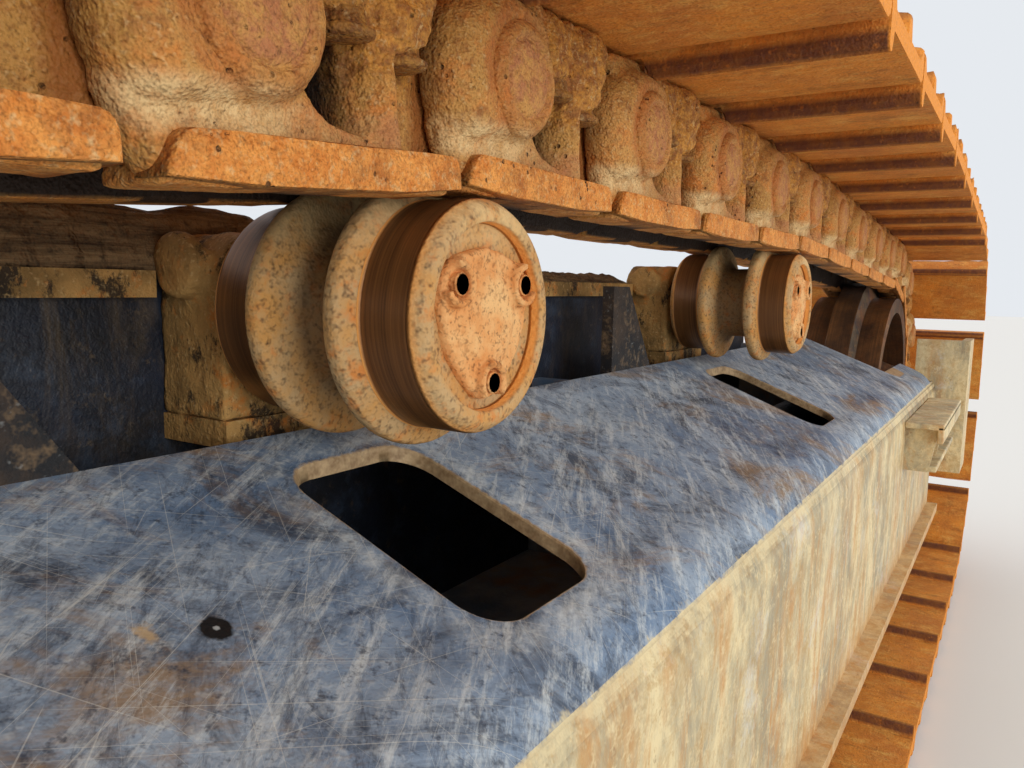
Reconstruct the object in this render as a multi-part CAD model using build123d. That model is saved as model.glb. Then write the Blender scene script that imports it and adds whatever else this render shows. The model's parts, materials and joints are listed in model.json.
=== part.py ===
# Right-hand crawler track unit of a large excavator.
# Millimetres, +Z up, +X towards the idler at the front, -Y the outer side of the machine.
# The model is laid out from the idler axle (x = 0), the chain's middle plane (y = 0) and the
# ground under the grousers (z = 0), and is centred on its overall box at the end.
import os
from math import asin, atan2, cos, degrees, hypot, pi, radians, sin, sqrt, tan

from build123d import *

# Chain
PITCH = 260.0             # pin to pin
LINKS = 46                # links in the closed loop
RAIL_BELOW_PIN = 95.0     # pin centre to the rail that the rollers run on
SHOE_ABOVE_PIN = 73.0     # pin centre to the face that the shoe is bolted on
ROW_INNER_Y = 54.0        # inner face of a link row
RAIL_WIDTH = 61.0         # thickness of a link row
KNUCKLE_R = 118.0         # rounded end of a link, about its pin
KNUCKLE_STEP = 33.0       # angle of one flat of that rounded end, in degrees
KNUCKLE_GAP = 0.5         # between a link's rounded end and the hollow of the next link
HOLLOW_BEND = 22.0        # bend at which the top of the rounded end bears in the hollow
SHOE_CLEARANCE = 1.5      # a bent link stays this far under the shoe of the link before
RAIL_GAP = 20.0           # between two rails, where one link ends and the next begins
BUSH_R = 43.0             # bush round each pin, between the rows
BUSH_SIDES = 8

# Shoes
SHOE_WIDTH = 700.0
SHOE_PLATE = 20.0
GROUSER = 30.0
GROUSER_TIP = 14.0
GROUSER_FOOT = 28.0
GROUSER_RAKE = 3.0        # the edge grousers lean in, so that a sagging chain can bend back
SHOE_GAP = 5.0
SHOE_START = -4.0         # leading edge of a shoe, measured from its pin

# Wheels that the chain runs on
SEAT = 0.3                # clearance between pieces that bear on each other
IDLER_TREAD_R = 340.0
IDLER_CLEARANCE = 5.0     # the idler turns, so it stays this far from the fixed loop
IDLER_GUIDE_R = 388.0
IDLER_HALF_WIDTH = 116.0
IDLER_GUIDE_HALF = 47.0
IDLER_WEB_HALF = 30.0
IDLER_RIM = 46.0
IDLER_HUB_R = 120.0
IDLER_SHAFT_R = 60.0
RUNNING = 0.05            # radial clearance of the idler on its shaft
SPROCKET_TEETH = 21       # every second gap takes a bush
SPROCKET_HALF = 42.0
TOOTH_RISE = 20.0         # tooth tip above the circle of the bushes' centres
TOOTH_TIP = 18.0          # width of a tooth's tip
SEAT_ANGLE = 60.0         # a tooth gap hugs its bush this far to each side of its root
SPROCKET_BORE_R = 250.0

# Carrier rollers, cantilevered from brackets on the frame's inner wall
CARRIER_PITCH = 1048.0
CARRIER_COUNT = 3
CARRIER_BEHIND_IDLER = 1330.0
CARRIER_RISE = 334.2      # carrier axles above the idler's axle
CARRIER_TREAD_R = 94.0
CARRIER_FLANGE_R = 110.0
CARRIER_WAIST_R = 65.0
CARRIER_LENGTH = 230.0
CARRIER_CHAMFER = 10.0
CARRIER_TREAD = 61.0      # length of the tread at each end
CARRIER_FLANGE = 15.0
CARRIER_SHAFT_R = 36.0
CARRIER_SHAFT_REACH = 150.0   # how far the shaft reaches into the roller
CARRIER_RECESS_R = 74.0
CARRIER_RECESS = 12.0
CARRIER_CAP_R = 68.0
CARRIER_CAP_NOTCH_R = 13.0
CARRIER_CAP_PCD_R = 56.0
CHAIN_BEND_PAST_CARRIER = 100.0   # where the top run starts to slope, past an end carrier
CHAIN_DIP = 1.6           # how far a link that spans the bend dips over the end carrier
FIRST_PIN_PAST_CARRIER = 24.0     # a pin of the top run, past the middle carrier
CHAIN_SAG = 26.0          # of the top run, between the middle and the last carrier
SAG_END = 48.0            # the sagging stretch ends this far in front of the last carrier

# Carrier brackets
POST_WIDTH = 136.0
POST_CLEARANCE = 11.0     # from the roller's inner end to the post behind it
POST_TOP_RISE = 69.0      # top of the post above the carrier's axle
POST_TOP_R = 40.0
FOOT_THICK = 30.0
FOOT_DROP = 101.0         # underside of the bracket's foot below the carrier's axle
FOOT_FORWARD = 75.0       # how far the foot stands out in front of the post
SHELF_THICK = 25.0
BOSS_R = 29.0
BOSS_LENGTH = 20.0
BOSS_Y = 171.0
BOSS_RISE = 38.0          # boss above the carrier's axle

# Track rollers
ROLLER_COUNT = 8
ROLLER_TREAD_R = 110.0
ROLLER_FLANGE_R = 130.0
ROLLER_WAIST_R = 84.0
ROLLER_END_R = 72.0
ROLLER_FLANGE = 20.0
ROLLER_FLANGE_GAP = 4.0   # beside the rails
ROLLER_HALF = 152.0
ROLLER_SHAFT_R = 38.0
COLLAR_THICK = 44.0
COLLAR_WIDTH = 130.0
COLLAR_DROP = 46.0        # collar's reach below the roller's axis
COLLAR_RISE = 60.0        # and above it, up to the frame's bottom rails
ROLLER_HEADROOM = 12.0    # roller flange to the bottom plate
ROLLER_END_CLEARANCE = 640.0      # idler or sprocket axle to the nearest roller

# Side frame, seen in section: the deck slopes down to a rounded bend and a plumb side
SKIN = 14.0               # thickness of the deck and side plate
PLATE = 22.0              # thickness of the bottom plate
DECK_INNER_Y = 95.0
DECK_RISE = 221.2         # inner edge of the deck above the idler's axle
DECK_SLOPE = 21.0
SIDE_Y = -250.0
BEND_R = 75.0
SKIRT_Z = 245.0           # lower edge of the side plate and of the wall
FLANGE_THICK = 24.0
FLANGE_OUT = 30.0
WALL_Y = 217.0
WALL_THICK = 25.0
WALL_RISE = 33.0          # top of the wall above the carriers' axles
LEDGE_OUT = 25.0
LEDGE_THICK = 24.0
SLOT_LENGTH_X = 164.0
SLOT_INNER_Y = 46.0
SLOT_OUTER_Y = -176.0
SLOT_R = 38.0
FRAME_REAR_GAP = 540.0    # sprocket axle to the rear of the frame
FRAME_FRONT_GAP = 560.0   # front of the full-width frame to the idler axle
DECK_CLEARANCE = 24.0     # from the deck to the idler wheel, in front of it and beside it
DECK_NOSE = 15.0          # the deck's outer strip runs on past the idler axle, cut off at 45 degrees
NOSE_SIDE = -25.0         # front end of the plumb side plate
BULKHEAD = 25.0
WALL_CORNER = 150.0       # length of the sloped corners at the ends of the wall's top

# Idler mounting
BLOCK_HALF_X = 110.0
BLOCK_HALF_Z = 70.0
BLOCK_THICK = 36.0
BLOCK_Y = 124.0
ARM_THICK = 25.0
GUIDE_BAR = 18.0
ARM_FRONT = 130.0
YOKE_LEG = 30.0
YOKE_HALF_Z = 60.0
YOKE_CROSS = 40.0
YOKE_CLEARANCE = 26.0     # cross piece behind the idler's guide flange
YOKE_ROD_R = 55.0
RECOIL_R = 84.0
RECOIL_LENGTH = 1150.0

# Final drive
DRUM_R = 236.0
DRUM_OUTER_Y = -150.0
COVER_R = 190.0
COVER_THICK = 46.0
HOUSING_R = 262.0
HOUSING_FLANGE_R = 300.0
HOUSING_FLANGE = 27.0
HOUSING_Y = 46.0
DRIVE_EYE_R = 330.0
DRIVE_BORE_R = 175.0
MOTOR_R = 150.0
MOTOR_END_Y = 326.0
GUARD_R = 190.0
GUARD_WALL = 12.0

# Pads for the carbody, on the inner wall
PAD_COUNT = 2
PAD_WIDTH = 560.0
PAD_HEIGHT = 340.0
PAD_FACE_Y = 382.0
PAD_FLANGE = 30.0
PAD_BODY_X = 360.0
PAD_BODY_Z = 190.0
PAD_HOLE_X = 460.0
PAD_HOLE_Z = 250.0
PAD_HOLE_R = 21.0
PAD_RISE = 18.2           # middle of a pad above the idler's axle
PAD_FROM_IDLER = 1400.0
PAD_SPACING = 1900.0

# Trim pieces of the frame
GUSSET_THICK = 20.0
GUSSET_LENGTH = 100.0
GUSSET_HEIGHT = 140.0
GUSSET_TOP = 60.0
GUSSET_BEHIND_CARRIER = 220.0
STEP_BEHIND_NOSE = 215.0  # front of the step to the front end of the side plate
STEP_LENGTH = 560.0
STEP_OUT = 84.0
STEP_RISE = 53.2          # top of the step above the idler's axle
STEP_HEIGHT = 120.0
STEP_PLATE = 14.0
GUARD_PLATE = 25.0
FRONT_GUARD_LENGTH = 190.0
FRONT_GUARD_OUT = 85.0    # how far the guard stands out of the side plate
FRONT_GUARD_RISE = 213.2  # top of the guard above the idler's axle
FRONT_GUARD_DROP = 207.0  # and its foot below

# Places that follow from other sizes, and heights from the chain standing on the ground
PIN_GROUND_Z = GROUSER + SHOE_PLATE + SHOE_ABOVE_PIN
RAIL_GROUND_Z = PIN_GROUND_Z + RAIL_BELOW_PIN
ROW_OUTER_Y = ROW_INNER_Y + RAIL_WIDTH
IDLER_APOTHEM = IDLER_TREAD_R + IDLER_CLEARANCE + RAIL_BELOW_PIN
IDLER_PIN_R = hypot(IDLER_APOTHEM, PITCH / 2)
IDLER_Z = PIN_GROUND_Z + IDLER_PIN_R
SPROCKET_PIN_R = PITCH / 2 / sin(2 * pi / SPROCKET_TEETH)
SPROCKET_Z = PIN_GROUND_Z + SPROCKET_PIN_R
CARRIER_Z = IDLER_Z + CARRIER_RISE
POST_Y = CARRIER_LENGTH / 2 + POST_CLEARANCE
PIN_CARRIER_Z = CARRIER_Z + CARRIER_TREAD_R + SEAT + CHAIN_DIP + RAIL_BELOW_PIN
ROLLER_Z = RAIL_GROUND_Z + ROLLER_TREAD_R + SEAT
RAILS_BOTTOM_Z = ROLLER_Z + COLLAR_RISE
PLATE_BOTTOM_Z = ROLLER_Z + ROLLER_FLANGE_R + ROLLER_HEADROOM
FLOOR_Z = PLATE_BOTTOM_Z + PLATE
DECK_Z = IDLER_Z + DECK_RISE
FOOT_Z = CARRIER_Z - FOOT_DROP
WALL_TOP_Z = CARRIER_Z + WALL_RISE
CARRIER_X = [-CARRIER_BEHIND_IDLER - CARRIER_PITCH * i for i in range(CARRIER_COUNT)]


# Chain loop: straight runs and the arcs round the two end wheels, walked in steps of one pitch

def tangent_corner(corner, centre, radius, side):
    """Where a line from a corner of the top run meets an end wheel's pin circle, passing above."""
    dx, dz = centre[0] - corner[0], centre[1] - corner[1]
    reach = hypot(dx, dz)
    heading = atan2(dz, dx * side) + asin(radius / reach)
    run = sqrt(reach * reach - radius * radius)
    return corner[0] + side * run * cos(heading), corner[1] + run * sin(heading)


def loop_segments(axle_distance):
    """The closed path of the pins, from a pin above the middle carrier, forwards and round."""
    idler, sprocket = (0.0, IDLER_Z), (-axle_distance, SPROCKET_Z)
    start = (CARRIER_X[1] + FIRST_PIN_PAST_CARRIER, PIN_CARRIER_Z)
    front = (CARRIER_X[0] + CHAIN_BEND_PAST_CARRIER, PIN_CARRIER_Z)
    rear = (CARRIER_X[-1] - CHAIN_BEND_PAST_CARRIER, PIN_CARRIER_Z)
    onto_idler = tangent_corner(front, idler, IDLER_PIN_R, 1)
    off_sprocket = tangent_corner(rear, sprocket, SPROCKET_PIN_R, -1)
    sag_end = (CARRIER_X[-1] + SAG_END, PIN_CARRIER_Z)
    half_span = (start[0] - sag_end[0]) / 2
    sag_r = (half_span ** 2 + CHAIN_SAG ** 2) / (2 * CHAIN_SAG)
    sag_centre = (start[0] - half_span, PIN_CARRIER_Z - CHAIN_SAG + sag_r)
    sag_half = asin(half_span / sag_r)
    idler_top = atan2(onto_idler[1] - IDLER_Z, onto_idler[0])
    sprocket_top = atan2(off_sprocket[1] - SPROCKET_Z, off_sprocket[0] - sprocket[0])
    return [
        ("line", start, front),
        ("line", front, onto_idler),
        ("arc", idler, IDLER_PIN_R, idler_top, -pi / 2),
        ("line", (0.0, PIN_GROUND_Z), (sprocket[0], PIN_GROUND_Z)),
        ("arc", sprocket, SPROCKET_PIN_R, -pi / 2, sprocket_top - 2 * pi),
        ("line", off_sprocket, rear),
        ("line", rear, sag_end),
        ("arc", sag_centre, sag_r, -pi / 2 - sag_half, -pi / 2 + sag_half),
    ]


def segment_length(segment):
    if segment[0] == "line":
        return hypot(segment[2][0] - segment[1][0], segment[2][1] - segment[1][1])
    return segment[2] * abs(segment[4] - segment[3])


def point_along(segments, distance):
    """The point of the closed path at a distance from its start."""
    distance %= sum(segment_length(s) for s in segments)
    for segment in segments:
        length = segment_length(segment)
        if distance <= length:
            break
        distance -= length
    share = distance / length
    if segment[0] == "line":
        (x0, z0), (x1, z1) = segment[1], segment[2]
        return x0 + share * (x1 - x0), z0 + share * (z1 - z0)
    centre, radius, first, last = segment[1:]
    angle = first + share * (last - first)
    return centre[0] + radius * cos(angle), centre[1] + radius * sin(angle)


def walk_pins(segments):
    """Pins one chord of PITCH apart, and the distance that the last step reaches."""
    pins, distance = [point_along(segments, 0.0)], 0.0
    for _ in range(LINKS):
        x0, z0 = pins[-1]
        low, high = distance + 0.97 * PITCH, distance + 1.08 * PITCH
        for _ in range(40):
            middle = (low + high) / 2
            x, z = point_along(segments, middle)
            if hypot(x - x0, z - z0) < PITCH:
                low = middle
            else:
                high = middle
        distance = low
        pins.append(point_along(segments, distance))
    return pins[:LINKS], distance


def closed_chain():
    """The axle distance at which the links close the loop, with the pins' places."""
    base = LINKS * PITCH / 2 - pi * IDLER_PIN_R
    low, high = base - 3 * PITCH, base + 3 * PITCH
    for _ in range(40):
        middle = (low + high) / 2
        segments = loop_segments(middle)
        pins, reached = walk_pins(segments)
        if reached > sum(segment_length(s) for s in segments):
            low = middle
        else:
            high = middle
    return middle, pins


AXLE_DISTANCE, PINS = closed_chain()
SPROCKET_X = -AXLE_DISTANCE
FRAME_REAR_X = SPROCKET_X + FRAME_REAR_GAP
FRAME_FRONT_X = -FRAME_FRONT_GAP


# Solids

def side_prism(points, y0, y1):
    """An outline given by x and z, from y0 to y1."""
    outline = Wire.make_polygon([Vector(x, y0, z) for x, z in points], close=True)
    return extrude(Face(outline), amount=y1 - y0, dir=(0, 1, 0))


def end_prism(points, x0, x1):
    """A section given by y and z, from x0 to x1."""
    outline = Wire.make_polygon([Vector(x0, y, z) for y, z in points], close=True)
    return extrude(Face(outline), amount=x1 - x0, dir=(1, 0, 0))


def block(x0, x1, y0, y1, z0, z1):
    return Pos((x0 + x1) / 2, (y0 + y1) / 2, (z0 + z1) / 2) * Box(x1 - x0, y1 - y0, z1 - z0)


def rod_y(radius, x, z, y0, y1):
    """A round bar along Y."""
    return Pos(x, (y0 + y1) / 2, z) * Rot(90, 0, 0) * Cylinder(radius, y1 - y0)


def rod_x(radius, y, z, x0, x1):
    """A round bar along X."""
    return Pos((x0 + x1) / 2, y, z) * Rot(0, 90, 0) * Cylinder(radius, x1 - x0)


def lathe(profile, x, z):
    """A turned piece about Y: the profile gives radius and y."""
    outline = Wire.make_polygon([Vector(x + r, y, z) for r, y in profile], close=True)
    return revolve(Face(outline), axis=Axis((x, 0, z), (0, 1, 0)))


def link_frame(index):
    """Turns a point along a link and above its pins into x and z of the loop."""
    (x0, z0), (x1, z1) = PINS[index], PINS[(index + 1) % LINKS]
    ux, uz = (x1 - x0) / PITCH, (z1 - z0) / PITCH
    return lambda along, above: (x0 + along * ux - above * uz, z0 + along * uz + above * ux)


def link_outline():
    """A link from the side: rounded about its own pin, hollowed about the next one.

    The round stops where the sharpest bend would bring it against the shoe of the link before.
    """
    bend = 2 * degrees(asin(PITCH / 2 / SPROCKET_PIN_R))
    rail_angle = 180 + degrees(asin(RAIL_BELOW_PIN / KNUCKLE_R))
    top_angle = 180 + bend - degrees(asin((SHOE_ABOVE_PIN - SHOE_CLEARANCE) / KNUCKLE_R))
    rounded = (rail_angle, rail_angle - KNUCKLE_STEP, top_angle)
    head = [(KNUCKLE_R * cos(radians(a)), KNUCKLE_R * sin(radians(a))) for a in rounded]
    head.append((SHOE_START - SHOE_GAP + SHOE_CLEARANCE, SHOE_ABOVE_PIN))
    reach = KNUCKLE_R + KNUCKLE_GAP
    flats = (rail_angle, rail_angle - KNUCKLE_STEP, top_angle - HOLLOW_BEND)
    hollow = []
    for first, second in zip(flats, flats[1:]):
        middle, corner_r = radians((first + second) / 2), reach / cos(radians((first - second) / 2))
        hollow.append((PITCH + corner_r * cos(middle), corner_r * sin(middle)))
    upper = radians(flats[-1])
    lip = PITCH + (reach - SHOE_ABOVE_PIN * sin(upper)) / cos(upper)
    rail_end = PITCH + head[0][0] - RAIL_GAP
    return head + [(lip, SHOE_ABOVE_PIN)] + hollow[::-1] + [(rail_end, -RAIL_BELOW_PIN)]


def shoe_outline():
    """A shoe from its end: a plate with a grouser at each edge and one in the middle."""
    low, high = SHOE_START, SHOE_START + PITCH - SHOE_GAP
    middle = (low + high) / 2
    inner, root = SHOE_ABOVE_PIN, SHOE_ABOVE_PIN + SHOE_PLATE
    tip = root + GROUSER
    return [
        (low, inner), (high, inner), (high, root), (high - GROUSER_RAKE, tip), (high - GROUSER_FOOT, root),
        (middle + GROUSER_FOOT / 2, root), (middle + GROUSER_TIP / 2, tip),
        (middle - GROUSER_TIP / 2, tip), (middle - GROUSER_FOOT / 2, root),
        (low + GROUSER_FOOT, root), (low + GROUSER_RAKE, tip), (low, root),
    ]


def bush_outline():
    step = 2 * pi / BUSH_SIDES
    return [(BUSH_R * cos(step * (i + 0.5)), BUSH_R * sin(step * (i + 0.5))) for i in range(BUSH_SIDES)]


def repeat_along_chain(outline, y0, y1):
    pieces = []
    for index in range(LINKS):
        place = link_frame(index)
        pieces.append(side_prism([place(*point) for point in outline], y0, y1))
    return pieces


def chain():
    return {
        "track_shoes": repeat_along_chain(shoe_outline(), -SHOE_WIDTH / 2, SHOE_WIDTH / 2),
        "track_links_outer": repeat_along_chain(link_outline(), -ROW_OUTER_Y, -ROW_INNER_Y),
        "track_links_inner": repeat_along_chain(link_outline(), ROW_INNER_Y, ROW_OUTER_Y),
        "track_bushes": repeat_along_chain(bush_outline(), -ROW_INNER_Y, ROW_INNER_Y),
    }


def carrier_roller(x):
    """Two treads, two flanges between them and a waist; the outer end is recessed for its cap."""
    outer, inner = -CARRIER_LENGTH / 2, CARRIER_LENGTH / 2
    tread_end, flange_start = outer + CARRIER_TREAD, -ROW_INNER_Y + CARRIER_FLANGE / 3
    flange_end = flange_start + CARRIER_FLANGE
    profile = [
        (0, outer + CARRIER_RECESS), (CARRIER_RECESS_R, outer + CARRIER_RECESS),
        (CARRIER_RECESS_R, outer), (CARRIER_TREAD_R - CARRIER_CHAMFER, outer),
        (CARRIER_TREAD_R, outer + CARRIER_CHAMFER), (CARRIER_TREAD_R, tread_end),
        (CARRIER_FLANGE_R, flange_start), (CARRIER_FLANGE_R, flange_end),
        (CARRIER_WAIST_R, flange_end + CARRIER_FLANGE), (CARRIER_WAIST_R, -flange_end - CARRIER_FLANGE),
        (CARRIER_FLANGE_R, -flange_end), (CARRIER_FLANGE_R, -flange_start),
        (CARRIER_TREAD_R, -tread_end), (CARRIER_TREAD_R, inner - CARRIER_CHAMFER),
        (CARRIER_TREAD_R - CARRIER_CHAMFER, inner),
        (CARRIER_SHAFT_R + SEAT, inner), (CARRIER_SHAFT_R + SEAT, inner - CARRIER_SHAFT_REACH),
        (0, inner - CARRIER_SHAFT_REACH),
    ]
    return lathe(profile, x, CARRIER_Z)


def carrier_cap(x):
    """The end cap, notched at three places for its bolts."""
    outer = -CARRIER_LENGTH / 2
    cap = rod_y(CARRIER_CAP_R, x, CARRIER_Z, outer + 2, outer + CARRIER_RECESS)
    for angle in (30, 150, 270):
        across = CARRIER_CAP_PCD_R * cos(radians(angle))
        up = CARRIER_CAP_PCD_R * sin(radians(angle))
        cap -= rod_y(CARRIER_CAP_NOTCH_R, x + across, CARRIER_Z + up, outer, outer + CARRIER_RECESS / 2)
    return cap


def carrier_bracket(x):
    """A post behind the roller with its clamp boss and a foot that stands forwards."""
    left, right = x - POST_WIDTH / 2, x + POST_WIDTH / 2
    post = block(left, right, POST_Y, WALL_Y, FOOT_Z, CARRIER_Z + POST_TOP_RISE)
    post = fillet(post.edges().filter_by(Axis.Y).group_by(Axis.Z)[-1], POST_TOP_R)
    post += block(left, right + FOOT_FORWARD, POST_Y, WALL_Y, FOOT_Z, FOOT_Z + FOOT_THICK)
    post += rod_x(BOSS_R, BOSS_Y, CARRIER_Z + BOSS_RISE, left - BOSS_LENGTH, left)
    return post - rod_y(CARRIER_SHAFT_R + SEAT, x, CARRIER_Z, POST_Y, WALL_Y)


def carriers():
    nodes = {}
    shelves = []
    for number, x in enumerate(CARRIER_X, start=1):
        nodes[f"carrier_roller_{number}"] = carrier_roller(x)
        nodes[f"carrier_cap_{number}"] = carrier_cap(x)
        nodes[f"carrier_bracket_{number}"] = carrier_bracket(x)
        reach = CARRIER_LENGTH / 2 - CARRIER_SHAFT_REACH + SEAT
        nodes[f"carrier_shaft_{number}"] = rod_y(CARRIER_SHAFT_R, x, CARRIER_Z, reach, WALL_Y)
        left, right = x - POST_WIDTH / 2, x + POST_WIDTH / 2 + FOOT_FORWARD
        shelves.append(block(left, right, POST_Y, WALL_Y, FOOT_Z - SHELF_THICK, FOOT_Z))
    nodes["carrier_shelves"] = shelves
    return nodes


def roller_places():
    first = FRAME_FRONT_X - (ROLLER_END_CLEARANCE - FRAME_FRONT_GAP)
    last = SPROCKET_X + ROLLER_END_CLEARANCE
    return [first + (last - first) * i / (ROLLER_COUNT - 1) for i in range(ROLLER_COUNT)]


def track_roller(x):
    flange = ROW_OUTER_Y + ROLLER_FLANGE_GAP
    waist = ROW_INNER_Y - ROLLER_FLANGE_GAP
    half = [
        (ROLLER_WAIST_R, waist - 12), (ROLLER_TREAD_R, waist), (ROLLER_TREAD_R, flange - 2),
        (ROLLER_FLANGE_R, flange), (ROLLER_FLANGE_R, flange + ROLLER_FLANGE),
        (ROLLER_END_R, ROLLER_HALF), (ROLLER_SHAFT_R + SEAT, ROLLER_HALF),
    ]
    mirrored = [(r, -y) for r, y in reversed(half)]
    return lathe(mirrored + half, x, ROLLER_Z)


def track_rollers():
    rollers, shafts, collars = [], [], []
    start = ROLLER_HALF + SEAT
    for x in roller_places():
        rollers.append(track_roller(x))
        shafts.append(rod_y(ROLLER_SHAFT_R, x, ROLLER_Z, -start - COLLAR_THICK, start + COLLAR_THICK))
        for side in (-1, 1):
            y0, y1 = sorted((side * start, side * (start + COLLAR_THICK)))
            collar = block(x - COLLAR_WIDTH / 2, x + COLLAR_WIDTH / 2, y0, y1,
                           ROLLER_Z - COLLAR_DROP, RAILS_BOTTOM_Z)
            collars.append(collar - rod_y(ROLLER_SHAFT_R + SEAT, x, ROLLER_Z, y0, y1))
    return {
        "track_rollers": rollers,
        "track_roller_shafts": shafts,
        "track_roller_collars": collars,
    }


def deck_z(y):
    """Height of the deck's upper face."""
    return DECK_Z - (DECK_INNER_Y - y) * tan(radians(DECK_SLOPE))


def frame_skin():
    """Deck and side plate as one bent plate, with a slot under each carrier roller."""
    drop = SKIN / cos(radians(DECK_SLOPE))
    inside_y = SIDE_Y + SKIN
    section = [
        (DECK_INNER_Y, DECK_Z), (SIDE_Y, deck_z(SIDE_Y)), (SIDE_Y, SKIRT_Z),
        (inside_y, SKIRT_Z), (inside_y, deck_z(inside_y) - drop), (DECK_INNER_Y, DECK_Z - drop),
    ]
    skin = end_prism(section, FRAME_REAR_X, NOSE_SIDE)
    along = skin.edges().filter_by(Axis.X)
    skin = fillet(along.sort_by_distance(Vertex(0, SIDE_Y, deck_z(SIDE_Y)))[0], BEND_R)
    along = skin.edges().filter_by(Axis.X)
    skin = fillet(along.sort_by_distance(Vertex(0, inside_y, deck_z(inside_y) - drop))[0], BEND_R - SKIN)
    front, nose_y = -IDLER_TREAD_R - DECK_CLEARANCE, -IDLER_HALF_WIDTH - DECK_CLEARANCE
    around_idler = Polyline((front, DECK_INNER_Y), (front, nose_y), (DECK_NOSE, nose_y),
                            (DECK_NOSE - (nose_y - inside_y), inside_y), (NOSE_SIDE, inside_y),
                            (NOSE_SIDE, DECK_INNER_Y), close=True)
    skin -= Pos(0, 0, SKIRT_Z) * extrude(make_face(around_idler), DECK_Z)
    middle_y, width_y = (SLOT_INNER_Y + SLOT_OUTER_Y) / 2, SLOT_INNER_Y - SLOT_OUTER_Y
    for x in CARRIER_X:
        slot = Pos(x, middle_y, SKIRT_Z) * extrude(RectangleRounded(SLOT_LENGTH_X, width_y, SLOT_R),
                                                   DECK_Z)
        skin -= slot
    return skin


def frame_wall():
    """The inner wall, which runs back to an eye round the final drive."""
    front, rear = FRAME_FRONT_X - WALL_CORNER, FRAME_REAR_X + WALL_CORNER
    eye = tangent_corner((rear, WALL_TOP_Z), (SPROCKET_X, SPROCKET_Z), DRIVE_EYE_R, -1)
    outline = [(SPROCKET_X, SKIRT_Z), (FRAME_FRONT_X, SKIRT_Z), (FRAME_FRONT_X, DECK_Z),
               (front, WALL_TOP_Z), (rear, WALL_TOP_Z), eye]
    wall = side_prism(outline, WALL_Y, WALL_Y + WALL_THICK)
    wall += rod_y(DRIVE_EYE_R, SPROCKET_X, SPROCKET_Z, WALL_Y, WALL_Y + WALL_THICK)
    return wall - rod_y(DRIVE_BORE_R, SPROCKET_X, SPROCKET_Z, WALL_Y, WALL_Y + WALL_THICK)


def ledges():
    """The wall's top ledge, in stretches that stop at the carrier brackets and their bosses."""
    stops = [FRAME_FRONT_X - WALL_CORNER]
    for x in CARRIER_X:
        stops += [x + POST_WIDTH / 2, x - POST_WIDTH / 2 - BOSS_LENGTH]
    stops.append(FRAME_REAR_X + WALL_CORNER)
    bars = []
    for front, rear in zip(stops[::2], stops[1::2]):
        bars.append(block(rear, front, WALL_Y - LEDGE_OUT, WALL_Y, WALL_TOP_Z - LEDGE_THICK, WALL_TOP_Z))
    return bars


def bulkheads():
    """Cross plates between the skin and the wall; two of them carry the recoil unit."""
    inside_y = SIDE_Y + SKIN
    drop = SKIN / cos(radians(DECK_SLOPE)) + SEAT
    corner = BEND_R - SKIN
    section = [
        (inside_y, FLOOR_Z), (WALL_Y, FLOOR_Z), (WALL_Y, DECK_Z - drop),
        (DECK_INNER_Y, DECK_Z - drop), (inside_y + corner, deck_z(inside_y + corner) - drop),
        (inside_y, deck_z(inside_y) - drop - corner),
    ]
    front = FRAME_FRONT_X - BULKHEAD
    places = [front, front - RECOIL_LENGTH - BULKHEAD]
    gap = (places[1] - FRAME_REAR_X) / 2
    places += [places[1] - gap, FRAME_REAR_X]
    plates = [end_prism(section, x, x + BULKHEAD) for x in places]
    plates[0] -= rod_x(YOKE_ROD_R + SEAT, 0, IDLER_Z, front, front + BULKHEAD)
    return plates, places


def frame():
    bulkhead_plates, places = bulkheads()
    bottom = block(FRAME_REAR_X, FRAME_FRONT_X, SIDE_Y + SKIN, WALL_Y, PLATE_BOTTOM_Z, FLOOR_Z)
    rail_y = ROLLER_HALF + SEAT
    for side in (-1, 1):
        y0, y1 = sorted((side * rail_y, side * (rail_y + COLLAR_THICK)))
        bottom += block(FRAME_REAR_X, FRAME_FRONT_X, y0, y1, RAILS_BOTTOM_Z, PLATE_BOTTOM_Z)
    outer_flange = block(FRAME_REAR_X, NOSE_SIDE, SIDE_Y - FLANGE_OUT, SIDE_Y,
                         SKIRT_Z, SKIRT_Z + FLANGE_THICK)
    wall_back = WALL_Y + WALL_THICK
    inner_flange = block(FRAME_REAR_X, FRAME_FRONT_X, wall_back, wall_back + FLANGE_OUT,
                         SKIRT_Z, SKIRT_Z + FLANGE_THICK)
    recoil = rod_x(RECOIL_R, 0, IDLER_Z, places[1] + BULKHEAD, places[0])
    return {
        "frame_skin": frame_skin(),
        "frame_wall": frame_wall(),
        "frame_ledge": ledges(),
        "frame_bottom": bottom,
        "frame_bulkheads": bulkhead_plates,
        "frame_flanges": [outer_flange, inner_flange],
        "recoil_unit": recoil,
    }


def idler_wheel():
    """Two treads with a guide flange between them, a dished web and a hub."""
    half, guide = IDLER_HALF_WIDTH, IDLER_GUIDE_HALF
    rim_inner = IDLER_TREAD_R - IDLER_RIM
    bore = IDLER_SHAFT_R + RUNNING
    outside = [
        (IDLER_GUIDE_R, guide - 12), (IDLER_TREAD_R, guide), (IDLER_TREAD_R, half),
        (rim_inner, half), (rim_inner, IDLER_WEB_HALF + 14), (rim_inner - 30, IDLER_WEB_HALF),
        (IDLER_HUB_R + 30, IDLER_WEB_HALF), (IDLER_HUB_R, half), (bore, half),
    ]
    mirrored = [(r, -y) for r, y in reversed(outside)]
    return lathe(mirrored + outside, 0, IDLER_Z)


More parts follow.
